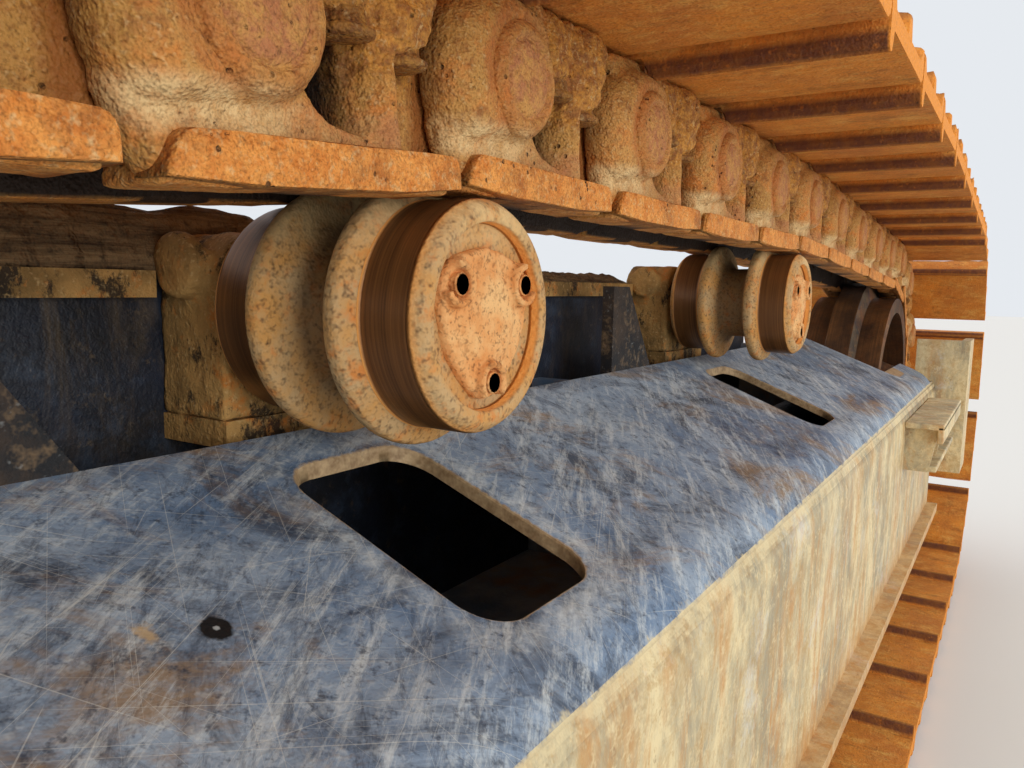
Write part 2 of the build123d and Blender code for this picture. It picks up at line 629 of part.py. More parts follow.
def idler_mounting():
    block_out = BLOCK_Y + BLOCK_THICK
    nodes = {"idler_shaft": rod_y(IDLER_SHAFT_R, 0, IDLER_Z, -block_out, block_out)}
    arm_rear = FRAME_FRONT_X
    arms, legs = [], []
    cross_front = -(IDLER_GUIDE_R + YOKE_CLEARANCE)
    for name, side in (("outer", -1), ("inner", 1)):
        def between(a, b):
            return sorted((side * a, side * b))
        bearing = block(-BLOCK_HALF_X, BLOCK_HALF_X, *between(BLOCK_Y, block_out),
                        IDLER_Z - BLOCK_HALF_Z, IDLER_Z + BLOCK_HALF_Z)
        bearing = fillet(bearing.edges().filter_by(Axis.Y), 18)
        bearing -= rod_y(IDLER_SHAFT_R + SEAT, 0, IDLER_Z, *between(BLOCK_Y, block_out))
        nodes[f"idler_block_{name}"] = bearing
        inside = block_out + SEAT
        arm_z = BLOCK_HALF_Z + SEAT + GUIDE_BAR
        arm = block(arm_rear, ARM_FRONT, *between(inside, inside + ARM_THICK), IDLER_Z - arm_z,
                    IDLER_Z + arm_z)
        for low in (-arm_z, BLOCK_HALF_Z + SEAT):
            arm += block(arm_rear, ARM_FRONT, *between(BLOCK_Y, inside), IDLER_Z + low,
                         IDLER_Z + low + GUIDE_BAR)
        arms.append(arm)
        legs.append(block(cross_front, -BLOCK_HALF_X, *between(BLOCK_Y, BLOCK_Y + YOKE_LEG),
                          IDLER_Z - YOKE_HALF_Z, IDLER_Z + YOKE_HALF_Z))
    nodes["idler_guide_arms"] = arms
    reach = BLOCK_Y + YOKE_LEG
    yoke = block(cross_front - YOKE_CROSS, cross_front, -reach, reach, IDLER_Z - YOKE_HALF_Z,
                 IDLER_Z + YOKE_HALF_Z)
    yoke += rod_x(YOKE_ROD_R, 0, IDLER_Z, FRAME_FRONT_X - BULKHEAD, cross_front - YOKE_CROSS)
    nodes["tension_yoke"] = yoke + legs[0] + legs[1]
    return nodes


def sprocket():
    """Teeth in step with the bushes that lie on the sprocket."""
    on_wheel = [p for p in PINS if p[0] < SPROCKET_X - SPROCKET_PIN_R / 2]
    phase = atan2(on_wheel[0][1] - SPROCKET_Z, on_wheel[0][0] - SPROCKET_X)
    step = 2 * pi / SPROCKET_TEETH
    seat_r = BUSH_R + SEAT
    tip_r = SPROCKET_PIN_R + TOOTH_RISE
    tip_half = asin(TOOTH_TIP / 2 / tip_r)
    root_in, root_side = seat_r * cos(radians(SEAT_ANGLE)), seat_r * sin(radians(SEAT_ANGLE))
    root_r = hypot(SPROCKET_PIN_R - root_in, root_side)
    root_half = atan2(root_side, SPROCKET_PIN_R - root_in)

    def at(radius, angle):
        return Vector(SPROCKET_X + radius * cos(angle), -SPROCKET_HALF, SPROCKET_Z + radius * sin(angle))

    edges = []
    for tooth in range(SPROCKET_TEETH):
        gap = phase + tooth * step
        tip = gap + step / 2
        left, right = at(root_r, gap - root_half), at(root_r, gap + root_half)
        tip_left, tip_right = at(tip_r, tip - tip_half), at(tip_r, tip + tip_half)
        edges.append(ThreePointArc(left, at(SPROCKET_PIN_R - seat_r, gap), right))
        edges.append(Line(right, tip_left))
        edges.append(Line(tip_left, tip_right))
        edges.append(Line(tip_right, at(root_r, gap + step - root_half)))
    ring = extrude(Face(Wire(edges)), amount=2 * SPROCKET_HALF, dir=(0, 1, 0))
    return ring - rod_y(SPROCKET_BORE_R, SPROCKET_X, SPROCKET_Z, -SPROCKET_HALF, SPROCKET_HALF)


def final_drive():
    x, z = SPROCKET_X, SPROCKET_Z
    lip = 30.0
    drum = lathe([(0, DRUM_OUTER_Y), (DRUM_R - 40, DRUM_OUTER_Y), (DRUM_R, DRUM_OUTER_Y + 40),
                  (DRUM_R, -SPROCKET_HALF - lip), (SPROCKET_BORE_R + lip, -SPROCKET_HALF - lip),
                  (SPROCKET_BORE_R + lip, -SPROCKET_HALF - SEAT),
                  (SPROCKET_BORE_R - SEAT, -SPROCKET_HALF - SEAT),
                  (SPROCKET_BORE_R - SEAT, HOUSING_Y - SEAT), (0, HOUSING_Y - SEAT)], x, z)
    cover = lathe([(0, DRUM_OUTER_Y - COVER_THICK), (COVER_R - 60, DRUM_OUTER_Y - COVER_THICK),
                   (COVER_R, DRUM_OUTER_Y - 14), (COVER_R, DRUM_OUTER_Y), (0, DRUM_OUTER_Y)], x, z)
    housing = lathe([(0, HOUSING_Y), (HOUSING_R - 20, HOUSING_Y), (HOUSING_R, HOUSING_Y + 20),
                     (HOUSING_R, WALL_Y - HOUSING_FLANGE), (HOUSING_FLANGE_R, WALL_Y - HOUSING_FLANGE),
                     (HOUSING_FLANGE_R, WALL_Y), (0, WALL_Y)], x, z)
    motor = lathe([(0, WALL_Y), (MOTOR_R, WALL_Y), (MOTOR_R, MOTOR_END_Y - 30),
                   (MOTOR_R - 40, MOTOR_END_Y), (0, MOTOR_END_Y)], x, z)
    wall_back = WALL_Y + WALL_THICK
    guard = rod_y(GUARD_R, x, z, wall_back, MOTOR_END_Y)
    guard -= rod_y(GUARD_R - GUARD_WALL, x, z, wall_back, MOTOR_END_Y)
    return {
        "sprocket": sprocket(),
        "final_drive_drum": drum,
        "final_drive_cover": cover,
        "final_drive_housing": housing,
        "travel_motor": motor,
        "motor_guard": guard,
    }


def carbody_pad(x):
    """A flanged stub that the carbody's leg bolts on."""
    middle_z = IDLER_Z + PAD_RISE
    body = block(x - PAD_BODY_X / 2, x + PAD_BODY_X / 2, WALL_Y + WALL_THICK, PAD_FACE_Y - PAD_FLANGE,
                 middle_z - PAD_BODY_Z / 2, middle_z + PAD_BODY_Z / 2)
    body += block(x - PAD_WIDTH / 2, x + PAD_WIDTH / 2, PAD_FACE_Y - PAD_FLANGE, PAD_FACE_Y,
                  middle_z - PAD_HEIGHT / 2, middle_z + PAD_HEIGHT / 2)
    for across in (-1, 1):
        for up in (-1, 1):
            body -= rod_y(PAD_HOLE_R, x + across * PAD_HOLE_X / 2, middle_z + up * PAD_HOLE_Z / 2,
                          PAD_FACE_Y - PAD_FLANGE, PAD_FACE_Y)
    return body


def trim():
    nodes = {}
    for number in range(PAD_COUNT):
        x = -PAD_FROM_IDLER - PAD_SPACING * number
        nodes[f"carbody_pad_{number + 1}"] = carbody_pad(x)
    gussets = []
    for x in CARRIER_X:
        tip = x - GUSSET_BEHIND_CARRIER
        tall = tip - GUSSET_LENGTH
        top, foot = DECK_Z + GUSSET_HEIGHT, DECK_Z - SKIN / cos(radians(DECK_SLOPE))
        outline = [(tip, DECK_Z), (tall, top), (tall - GUSSET_TOP, top), (tall - GUSSET_TOP, foot),
                   (tip, foot)]
        gussets.append(side_prism(outline, DECK_INNER_Y, DECK_INNER_Y + GUSSET_THICK))
    nodes["deck_gussets"] = gussets
    front, top = NOSE_SIDE - STEP_BEHIND_NOSE, IDLER_Z + STEP_RISE
    rear, foot, out = front - STEP_LENGTH, top - STEP_HEIGHT, SIDE_Y - STEP_OUT
    step = block(rear, front, out, SIDE_Y, foot, top)
    step -= block(rear + STEP_PLATE, front - STEP_PLATE, out + STEP_PLATE, SIDE_Y, foot, top - STEP_PLATE)
    nodes["step_bracket"] = step
    top, foot, out = IDLER_Z + FRONT_GUARD_RISE, IDLER_Z - FRONT_GUARD_DROP, SIDE_Y - FRONT_GUARD_OUT
    arm_y = -(BLOCK_Y + BLOCK_THICK + SEAT + ARM_THICK)
    guard = block(NOSE_SIDE, NOSE_SIDE + GUARD_PLATE, out, arm_y, foot, top)
    guard += block(NOSE_SIDE, NOSE_SIDE + FRONT_GUARD_LENGTH, out, out + GUARD_PLATE, foot, top)
    nodes["front_guard"] = guard
    return nodes


def main():
    nodes = {}
    for group in (chain(), carriers(), track_rollers(), frame(), {"idler_wheel": idler_wheel()},
                  idler_mounting(), final_drive(), trim()):
        nodes.update(group)
    solids = {name: shape if isinstance(shape, list) else [shape] for name, shape in nodes.items()}
    boxes = [solid.bounding_box() for pieces in solids.values() for solid in pieces]
    middle_x = (min(b.min.X for b in boxes) + max(b.max.X for b in boxes)) / 2
    middle_y = (min(b.min.Y for b in boxes) + max(b.max.Y for b in boxes)) / 2
    os.makedirs("parts", exist_ok=True)
    for name, pieces in solids.items():
        placed = [Pos(-middle_x, -middle_y, 0) * piece for piece in pieces]
        export_step(placed[0] if len(placed) == 1 else Compound(placed), f"parts/{name}.step")
    print(f"axle distance {AXLE_DISTANCE:.1f}, idler axle at x {-middle_x:.2f}, y shift {-middle_y:.2f}")
    print(f"idler axle z {IDLER_Z:.2f}, sprocket axle z {SPROCKET_Z:.2f}")


main()
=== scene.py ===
import json
import math

import bmesh
import bpy
import numpy as np
from bpy.props import FloatProperty, FloatVectorProperty, PointerProperty
from mathutils import Matrix, Vector, noise


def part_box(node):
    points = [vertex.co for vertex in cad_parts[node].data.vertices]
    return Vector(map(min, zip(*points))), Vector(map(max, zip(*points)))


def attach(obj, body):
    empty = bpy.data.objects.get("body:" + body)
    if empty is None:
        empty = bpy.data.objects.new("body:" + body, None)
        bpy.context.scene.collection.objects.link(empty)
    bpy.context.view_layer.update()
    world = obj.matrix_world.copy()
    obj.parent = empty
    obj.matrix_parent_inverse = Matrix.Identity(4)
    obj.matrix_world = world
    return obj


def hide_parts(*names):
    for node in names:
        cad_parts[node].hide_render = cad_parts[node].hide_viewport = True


bl_info = {
    "name": "Crawler Track Unit",
    "version": (1, 0, 0),
    "blender": (4, 5, 0),
    "location": "3D View > Sidebar > Crawler",
    "description": "Models the links, shoes, rollers and worn finishes of an excavator's crawler track unit",
    "category": "Object",
}

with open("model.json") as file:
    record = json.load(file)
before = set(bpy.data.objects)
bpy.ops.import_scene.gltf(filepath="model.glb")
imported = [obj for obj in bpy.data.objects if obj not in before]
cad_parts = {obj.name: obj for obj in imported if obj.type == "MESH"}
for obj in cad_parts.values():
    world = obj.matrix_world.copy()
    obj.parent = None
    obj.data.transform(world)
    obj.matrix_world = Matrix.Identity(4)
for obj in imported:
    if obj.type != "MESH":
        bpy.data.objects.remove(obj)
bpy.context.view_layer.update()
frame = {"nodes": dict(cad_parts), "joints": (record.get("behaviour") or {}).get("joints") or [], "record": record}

MM = 0.001
_, TRACK_Y, IDLER_Z = frame["joints"][0]["pos_m"]
CARRIER_NAMES = sorted(n for n in frame["nodes"] if n.startswith("carrier_roller_"))


def node_centre(name):
    low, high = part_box(name)
    return (low + high) / 2


CARRIERS = [node_centre(name) for name in CARRIER_NAMES]
MIDDLE_CARRIER = CARRIERS[1]      # the nearest one to the camera

# Each slot of the deck, under its carrier
SLOT_MIDDLE_Y = TRACK_Y - 0.065
SLOT_HALF_X, SLOT_HALF_Y, SLOT_CORNER = 0.082, 0.111, 0.038


# Shader graphs

FINEST = 700.0            # waves per metre; finer ones are lost in the picture


def octaves_sum(rough, detail):
    """How strong all octaves of a noise are together."""
    return sum(rough ** octave for octave in range(int(detail) + 1))


class Graph:
    """Short ways to add nodes to one material's shader."""

    def __init__(self, name):
        self.material = bpy.data.materials.new(name)
        self.material.use_nodes = True
        self.tree = self.material.node_tree
        self.shader = self.tree.nodes["Principled BSDF"]
        self.place = self.tree.nodes.new("ShaderNodeTexCoord").outputs["Object"]
        self.normal = self.tree.nodes.new("ShaderNodeNewGeometry").outputs["Normal"]

    def plug(self, socket, value):
        if isinstance(value, bpy.types.NodeSocket):
            self.tree.links.new(value, socket)
        else:
            socket.default_value = value

    def node(self, kind, settings=None, **inputs):
        node = self.tree.nodes.new(kind)
        for key, value in (settings or {}).items():
            setattr(node, key, value)
        for key, value in inputs.items():
            self.plug(node.inputs[key.replace("_", " ")], value)
        return node

    def math(self, operation, a, b=0.0, c=0.0, clamp=False):
        node = self.tree.nodes.new("ShaderNodeMath")
        node.operation = operation
        node.use_clamp = clamp
        for socket, value in zip(node.inputs, (a, b, c)):
            self.plug(socket, value)
        return node.outputs[0]

    def axes(self, vector=None):
        node = self.node("ShaderNodeSeparateXYZ", Vector=vector or self.place)
        return node.outputs[0], node.outputs[1], node.outputs[2]

    def scaled(self, x, y, z, vector=None):
        """Coordinates stretched by axis, for streaks and scratches."""
        return self.node("ShaderNodeMapping", Vector=vector or self.place, Scale=(x, y, z)).outputs[0]

    def turned(self, angle, x, y, z, axis=2):
        turn = [0.0, 0.0, 0.0]
        turn[axis] = math.radians(angle)
        node = self.node("ShaderNodeMapping", Vector=self.place, Rotation=turn)
        return self.scaled(x, y, z, node.outputs[0])

    def noise(self, scale, detail=4.0, rough=0.6, vector=None, bend=0.0):
        """Noise without the octaves that are too fine to see, at the contrast that it has with them."""
        kept = detail if vector else min(detail, max(1, int(math.log2(FINEST / scale))))
        value = self.node("ShaderNodeTexNoise", Vector=vector or self.place, Scale=scale, Detail=kept,
                          Roughness=rough, Distortion=bend).outputs["Fac"]
        if kept == detail:
            return value
        share = octaves_sum(rough, kept) / octaves_sum(rough, detail)
        return self.math("MULTIPLY_ADD", value, share, (1 - share) / 2)

    def cells(self, scale):
        return self.node("ShaderNodeTexVoronoi", Vector=self.place, Scale=scale).outputs["Distance"]

    def span(self, value, low, high, to_low=0.0, to_high=1.0, smooth=False):
        node = self.node("ShaderNodeMapRange", {"interpolation_type": "SMOOTHSTEP" if smooth else "LINEAR"},
                         Value=value)
        for key, number in (("From Min", low), ("From Max", high), ("To Min", to_low), ("To Max", to_high)):
            self.plug(node.inputs[key], number)
        return node.outputs["Result"]

    def mix(self, factor, a, b, blend="MIX"):
        node = self.tree.nodes.new("ShaderNodeMix")
        node.data_type = "RGBA"
        node.blend_type = blend
        for index, value in ((0, factor), (6, a), (7, b)):
            if not isinstance(value, (bpy.types.NodeSocket, float, int)) and len(value) == 3:
                value = (*value, 1.0)
            self.plug(node.inputs[index], value)
        return node.outputs[2]

    def blotch(self, base, over, value, low, high, share=1.0):
        """Covers a colour with another, up to a share, where a value or a noise of its own is high."""
        if isinstance(value, tuple):
            value = self.noise(*value)
        return self.mix(self.span(value, low, high, 0.0, share), base, over)

    def blotches(self, colour, *layers):
        """Several blotches over each other, each given as for one of them after its base."""
        for layer in layers:
            colour = self.blotch(colour, *layer)
        return colour

    def attribute(self, name):
        """The three parts of a vector that the mesh carries."""
        return self.axes(self.node("ShaderNodeAttribute", {"attribute_name": name}).outputs["Vector"])

    def times(self, *factors):
        product = factors[0]
        for factor in factors[1:]:
            product = self.math("MULTIPLY", product, factor)
        return product

    def flat_distance(self, a, b):
        return self.math("SQRT", self.math("ADD", self.times(a, a), self.times(b, b)))

    def fine_lines(self, angle, along, across, rarity):
        """Thin straight scratches at an angle on the deck; a higher rarity leaves fewer of them."""
        strokes = self.noise(1.0, 1.0, 0.5, self.turned(angle, along, across, 6.0))
        return self.span(strokes, rarity, rarity + 0.03)

    def bump(self, height, distance, strength=1.0, below=None):
        inputs = {"Height": height, "Distance": distance, "Strength": strength}
        node = self.node("ShaderNodeBump", **inputs)
        if below is not None:
            self.plug(node.inputs["Normal"], below)
        return node.outputs[0]

    def finish(self, colour, rough, bump=None, metallic=0.0, specular=0.5):
        self.plug(self.shader.inputs["Base Color"], colour if isinstance(colour, bpy.types.NodeSocket)
                  else (*colour, 1.0))
        self.plug(self.shader.inputs["Roughness"], rough)
        self.plug(self.shader.inputs["Metallic"], metallic)
        self.shader.inputs["Specular IOR Level"].default_value = specular
        if bump is not None:
            self.plug(self.shader.inputs["Normal"], bump)
        return self.material


def near_value(graph, value, centre, half, soft):
    """1 where value is within half of centre, fading over soft."""
    away = graph.math("ABSOLUTE", graph.math("SUBTRACT", value, centre))
    return graph.span(away, half, half + soft, 1.0, 0.0, smooth=True)


def rusty_forging(colours):
    """Chain links: golden-brown castings with dark specks, purple-brown pin ends and orange rail feet, with
    painted shade in their recesses.
    """
    g = Graph("rusty_forging")
    u, w, v = g.attribute("link_place")
    specks = g.noise(240.0, 4, 0.8)
    colour = g.blotch(colours.olive, colours.rust_tan, (11.0, 5, 0.65), 0.38, 0.62)
    colour = g.blotches(colour, (colours.rust_orange, (22.0, 6, 0.72), 0.5, 0.64, 0.8),
                        (colours.rust_brown, (47.0, 6, 0.78), 0.52, 0.66, 0.8),
                        (colours.rust_brown, (130.0, 5, 0.8), 0.5, 0.66, 0.55),
                        (colours.pale_speck, specks, 0.54, 0.68, 0.6))
    reach = g.flat_distance(u, g.math("ADD", v, 0.004))
    outside = g.span(w, 0.112, 0.120)
    left = g.span(u, -0.05, 0.03, 1.0, 0.45)
    halo = g.times(near_value(g, reach, 0.044, 0.006, 0.012), outside, left)
    colour = g.mix(g.times(halo, g.span(g.noise(45.0, 4, 0.7), 0.3, 0.6, 0.2, 0.85)), colour, colours.halo)
    disc = g.times(g.span(reach, 0.030, 0.035, 1.0, 0.0), outside)
    pink = g.blotch(colours.disc_pink, colours.rust_tan, (70.0, 6, 0.8), 0.42, 0.6)
    pink = g.blotch(pink, colours.rust_brown, (160.0, 5, 0.8), 0.52, 0.66, 0.6)
    colour = g.mix(disc, colour, pink)
    step = g.times(near_value(g, v, -0.057, 0.006, 0.012), g.span(w, 0.085, 0.1))
    cloud = g.noise(40.0, 6, 0.75)
    pale = g.times(step, g.span(u, 0.0, 0.05, 1.0, 0.15), g.span(cloud, 0.36, 0.56, 0.1, 1.0))
    colour = g.mix(pale, colour, colours.band_cream)
    mauve = g.times(step, g.span(u, 0.02, 0.07, 0.1, 0.75), g.span(cloud, 0.4, 0.6, 1.0, 0.3))
    colour = g.mix(mauve, colour, colours.disc_pink)
    lumps = g.times(g.span(u, 0.058, 0.066), g.span(v, -0.03, -0.018))
    rusty = g.blotch(colours.boss_yellow, colours.rust_brown, (95.0, 5, 0.78), 0.4, 0.6)
    rusty = g.blotch(rusty, colours.pale_speck, (150.0, 4, 0.8), 0.55, 0.68, 0.8)
    colour = g.mix(g.times(lumps, 0.85), colour, rusty)
    foot = g.math("MAXIMUM", g.times(g.span(w, 0.1125, 0.1165), g.span(v, -0.068, -0.064, 1.0, 0.0)),
                  g.span(v, -0.0945, -0.092, 1.0, 0.0))
    bright = g.blotch(colours.rust_orange, colours.rail_orange, (62.0, 6, 0.78), 0.38, 0.62)
    bright = g.blotches(bright, (colours.rust_brown, (17.0, 5, 0.7), 0.5, 0.68, 0.75),
                        (colours.pale_speck, (150.0, 5, 0.82), 0.52, 0.66, 0.65),
                        (colours.rust_brown, (190.0, 5, 0.8), 0.54, 0.68, 0.6))
    colour = g.mix(foot, colour, bright)
    pits = g.span(g.cells(120.0), 0.10, 0.24, 1.0, 0.0)
    pits = g.times(pits, g.span(g.noise(38.0, 4, 0.6), 0.56, 0.64))
    colour = g.mix(g.times(pits, 0.7), colour, colours.pit)
    fine = g.noise(520.0, 3, 0.7)
    colour = g.blotch(colour, colours.rust_dark, fine, 0.48, 0.72, 0.5)
    tail = g.times(g.span(u, 0.160, 0.172), g.span(w, 0.083, 0.088, 1.0, 0.0))
    colour = g.mix(g.times(tail, 0.8), colour, colours.crevice)
    # Painted shade: the faces by the chain's middle, the windows beside the strut and the link's left end get the
    # pit colour, for the shade the links cast on each other.
    inside = g.span(w, 0.0545, 0.0575, 1.0, 0.0)
    recess_shade = g.times(g.span(w, 0.066, 0.104, 1.0, 0.0), near_value(g, u, 0.067, 0.026, 0.006))
    edge = g.times(g.span(u, -0.088, -0.072, 0.8, 0.0), g.span(w, 0.085, 0.112, 1.0, 0.0))
    shade = g.math("MAXIMUM", g.math("MAXIMUM", g.times(recess_shade, 0.97), inside), edge)
    colour = g.mix(shade, colour, colours.pit)
    lump = g.bump(g.noise(42.0, 7, 0.72), 0.009, 0.8)
    grain = g.bump(g.math("SUBTRACT", specks, g.times(pits, 1.2)), 0.0042, 1.0, lump)
    return g.finish(colour, g.span(fine, 0.3, 0.7, 0.6, 0.9), grain, specular=0.35)


def rusty_shoe(colours):
    """Shoes: rolled plate in orange-brown rust; the lips are painted darker, a painted shade, and the cut ends
    brighter, a painted sunlight.
    """
    g = Graph("rusty_shoe")
    _, along, v = g.attribute("shoe_place")
    colour = g.blotch(colours.shoe_brown, colours.shoe_orange, (7.0, 6, 0.65), 0.4, 0.6)
    clouds = g.noise(22.0, 7, 0.78, g.scaled(1.0, 0.5, 1.0))
    colour = g.blotches(colour, (colours.shoe_yellow, clouds, 0.5, 0.66, 0.8),
                        (colours.shoe_dark, (15.0, 7, 0.78, g.scaled(1.6, 0.8, 1.0)), 0.53, 0.68, 0.7))
    rolled = g.noise(70.0, 6, 0.8, g.scaled(1.0, 0.3, 1.0))
    colour = g.blotches(colour, (colours.shoe_brown, rolled, 0.5, 0.66, 0.6),
                        (colours.shoe_yellow, (110.0, 6, 0.8, g.scaled(1.0, 0.4, 1.0)), 0.54, 0.68, 0.7))
    # Painted shade: the lips hanging below the plate get a dark purple-brown, as they look in shade.
    lip = g.span(v, 0.0655, 0.0725, 1.0, 0.0)
    rear = g.blotch(colours.lip_purple, colours.shoe_dark, (50.0, 6, 0.75), 0.42, 0.6)
    rear = g.blotch(rear, colours.shoe_brown, (90.0, 5, 0.8), 0.56, 0.7, 0.7)
    colour = g.mix(g.times(lip, g.span(v, 0.0505, 0.0535, 0.35, 1.0)), colour, rear)
    # Painted sunlight: the shoes' outer ends get the bright rust orange, as they look in sun.
    end = g.span(g.math("ABSOLUTE", along), 0.3472, 0.3495)
    colour = g.mix(end, colour, colours.shoe_orange)
    worn = g.span(v, 0.108, 0.118)
    worn = g.times(worn, g.span(g.noise(40.0, 4, 0.7), 0.3, 0.6, 0.3, 0.9))
    colour = g.mix(worn, colour, colours.tread_brown)
    grain = g.noise(260.0, 5, 0.8)
    colour = g.blotch(colour, colours.shoe_dark, grain, 0.5, 0.68, 0.55)
    pits = g.times(g.span(g.cells(90.0), 0.06, 0.16, 1.0, 0.0), g.span(g.noise(30.0, 3, 0.6), 0.54, 0.62))
    colour = g.mix(g.times(pits, 0.7), colour, colours.rust_dark)
    lump = g.bump(g.noise(26.0, 6, 0.7), 0.007, 0.7)
    return g.finish(colour, 0.8, g.bump(grain, 0.003, 0.9, lump), specular=0.35)


def carrier_steel(colours):
    """Carrier rollers: dark polished treads with orange edges, rough tan between and at the end."""
    g = Graph("carrier_steel")
    x, along, z = g.axes()
    y = g.math("ADD", along, -TRACK_Y)
    grain = g.noise(210.0, 5, 0.8)
    rough_tan = g.blotch(colours.roller_tan, colours.rust_tan, (24.0, 6, 0.7), 0.4, 0.62)
    rough_tan = g.blotches(rough_tan, (colours.rust_orange, (46.0, 6, 0.75), 0.52, 0.66, 0.8),
                           (colours.rust_dark, grain, 0.5, 0.66, 0.85))
    # Painted sunlight: the rollers' tops are speckled pale, a patch of sun on them.
    high = g.times(g.span(z, 0.965, 1.0), g.span(g.noise(34.0, 5, 0.7), 0.4, 0.55))
    rough_tan = g.mix(g.times(high, 0.8), rough_tan, colours.pale_speck)
    ring = g.noise(2.0, 5, 0.75, g.scaled(1.5, 160.0, 1.5))
    tread = g.blotch(colours.tread_dark, colours.tread_brown, ring, 0.35, 0.65)
    tread = g.blotch(tread, colours.rust_brown, (18.0, 5, 0.7), 0.55, 0.72, 0.6)
    away = g.math("ABSOLUTE", y)
    on_tread = near_value(g, away, 0.081, 0.021, 0.004)
    edge = near_value(g, away, 0.081, 0.0285, 0.005)
    waist = near_value(g, away, 0.0, 0.022, 0.008)
    radial = g.span(g.math("ABSOLUTE", g.axes(g.normal)[1]), 0.3, 0.65, 1.0, 0.0)
    colour = g.mix(g.times(waist, 0.55), rough_tan, colours.rust_dark)
    colour = g.mix(g.times(edge, radial), colour, colours.rail_orange)
    on_tread = g.times(on_tread, radial)
    colour = g.mix(on_tread, colour, tread)
    height = g.times(grain, g.math("SUBTRACT", 1.0, g.times(on_tread, 0.9)))
    lump = g.bump(g.times(g.noise(60.0, 5, 0.7), g.math("SUBTRACT", 1.0, on_tread)), 0.004, 0.7)
    return g.finish(colour, g.span(on_tread, 0.0, 1.0, 0.85, 0.36), g.bump(height, 0.0026, 0.9, lump),
                    g.times(on_tread, 0.35))


def cap_rust(colours):
    """End caps and their bolts: speckled orange-tan rust."""
    g = Graph("cap_rust")
    grain = g.noise(260.0, 5, 0.8)
    colour = g.blotch(colours.cap_tan, colours.cap_orange, (22.0, 5, 0.65), 0.38, 0.6)
    colour = g.blotches(colour, (colours.rust_brown, (70.0, 5, 0.7), 0.55, 0.68, 0.7),
                        (colours.rust_dark, grain, 0.52, 0.66, 0.8))
    lump = g.bump(g.noise(90.0, 5, 0.7), 0.003, 0.7)
    return g.finish(colour, 0.85, g.bump(grain, 0.0024, 0.9, lump), specular=0.35)


# Marks on the deck, from the middle carrier
PLUG_HOLE, RUST_SCAB = (-0.240, -0.080), (-0.276, -0.064)
# Scratches: angle on the deck, stretch along and across, and rarity
DECK_SCRATCHES = ((31.0, 2.5, 900.0, 0.715), (-24.0, 3.5, 760.0, 0.715), (58.0, 3.0, 980.0, 0.72),
                  (-61.0, 2.2, 840.0, 0.71), (12.0, 5.0, 700.0, 0.73), (-42.0, 6.0, 420.0, 0.745),
                  (44.0, 1.6, 520.0, 0.75), (84.0, 3.0, 900.0, 0.72))


def away_from(g, x, y, spot):
    """Distance on the deck from a spot given from the middle carrier."""
    return g.flat_distance(g.math("SUBTRACT", x, MIDDLE_CARRIER.x + spot[0]),
                           g.math("SUBTRACT", y, TRACK_Y + spot[1]))


def slot_distance(g, x, y):
    """How far a point of the deck lies from the nearest slot's edge, in metres, below zero inside."""
    pitch = (CARRIERS[0] - CARRIERS[-1]).length / (len(CARRIERS) - 1)
    wrapped = g.math("WRAP", g.math("SUBTRACT", x, MIDDLE_CARRIER.x), pitch / 2, -pitch / 2)
    across = g.math("SUBTRACT", g.math("ABSOLUTE", wrapped), SLOT_HALF_X - SLOT_CORNER)
    from_middle = g.math("ABSOLUTE", g.math("SUBTRACT", y, SLOT_MIDDLE_Y))
    along = g.math("SUBTRACT", from_middle, SLOT_HALF_Y - SLOT_CORNER)
    outside = g.flat_distance(g.math("MAXIMUM", across, 0.0), g.math("MAXIMUM", along, 0.0))
    inside = g.math("MINIMUM", g.math("MAXIMUM", across, along), 0.0)
    return g.math("SUBTRACT", g.math("ADD", outside, inside), SLOT_CORNER)


def cream_coat(g, colours):
    """Faded cream paint, its cream partly a painted sunlight, mottled like plaster, with grey wear and orange
    runs.
    """
    _, _, z = g.axes()
    clouds = g.noise(5.0, 7, 0.75, g.scaled(2.0, 2.0, 1.0), bend=0.5)
    colour = g.blotch(colours.side_cream, colours.side_grey, clouds, 0.4, 0.6)
    colour = g.mix(g.span(g.noise(13.0, 8, 0.8, bend=0.4), 0.48, 0.64, 0.0, 0.7), colour, colours.side_tan)
    runs = g.noise(4.0, 8, 0.8, g.scaled(4.5, 3.0, 0.9), bend=0.9)
    low = g.span(z, 0.35, 0.80, 0.9, 0.5)
    colour = g.mix(g.times(g.span(runs, 0.49, 0.66), low), colour, colours.side_rust)
    colour = g.mix(g.span(g.noise(9.0, 8, 0.8, bend=0.4), 0.55, 0.68, 0.0, 0.55), colour, colours.deck_pale)
    colour = g.blotches(colour, (colours.side_cream, (48.0, 7, 0.84), 0.52, 0.62, 0.7),
                        (colours.side_tan, (75.0, 7, 0.84), 0.53, 0.63, 0.6),
                        (colours.deck_brown, (34.0, 7, 0.84), 0.58, 0.66, 0.7))
    return g.mix(g.span(z, 0.22, 0.34, 0.7, 0.0), colour, colours.side_rust)


def cream_paint(colours):
    """Flanges, step and guard: the same cream paint as the side plate."""
    g = Graph("cream_paint")
    grain = g.noise(120.0, 7, 0.8)
    return g.finish(cream_coat(g, colours), 0.65, g.bump(grain, 0.003, 0.8), specular=0.4)


def packed_soil(colours):
    """Soil that lies on the inner wall, layered and crumbly."""
    g = Graph("packed_soil")
    layers = g.noise(3.0, 6, 0.75, g.scaled(2.5, 2.5, 34.0), bend=0.4)
    colour = g.blotch(colours.soil_dark, colours.soil_tan, layers, 0.38, 0.62)
    crumbs = g.noise(120.0, 6, 0.8)
    colour = g.blotch(colour, colours.wall_black, crumbs, 0.52, 0.68, 0.7)
    lump = g.bump(g.noise(30.0, 6, 0.7), 0.010, 0.9)
    return g.finish(colour, 0.95, g.bump(crumbs, 0.004, 0.9, lump), specular=0.2)


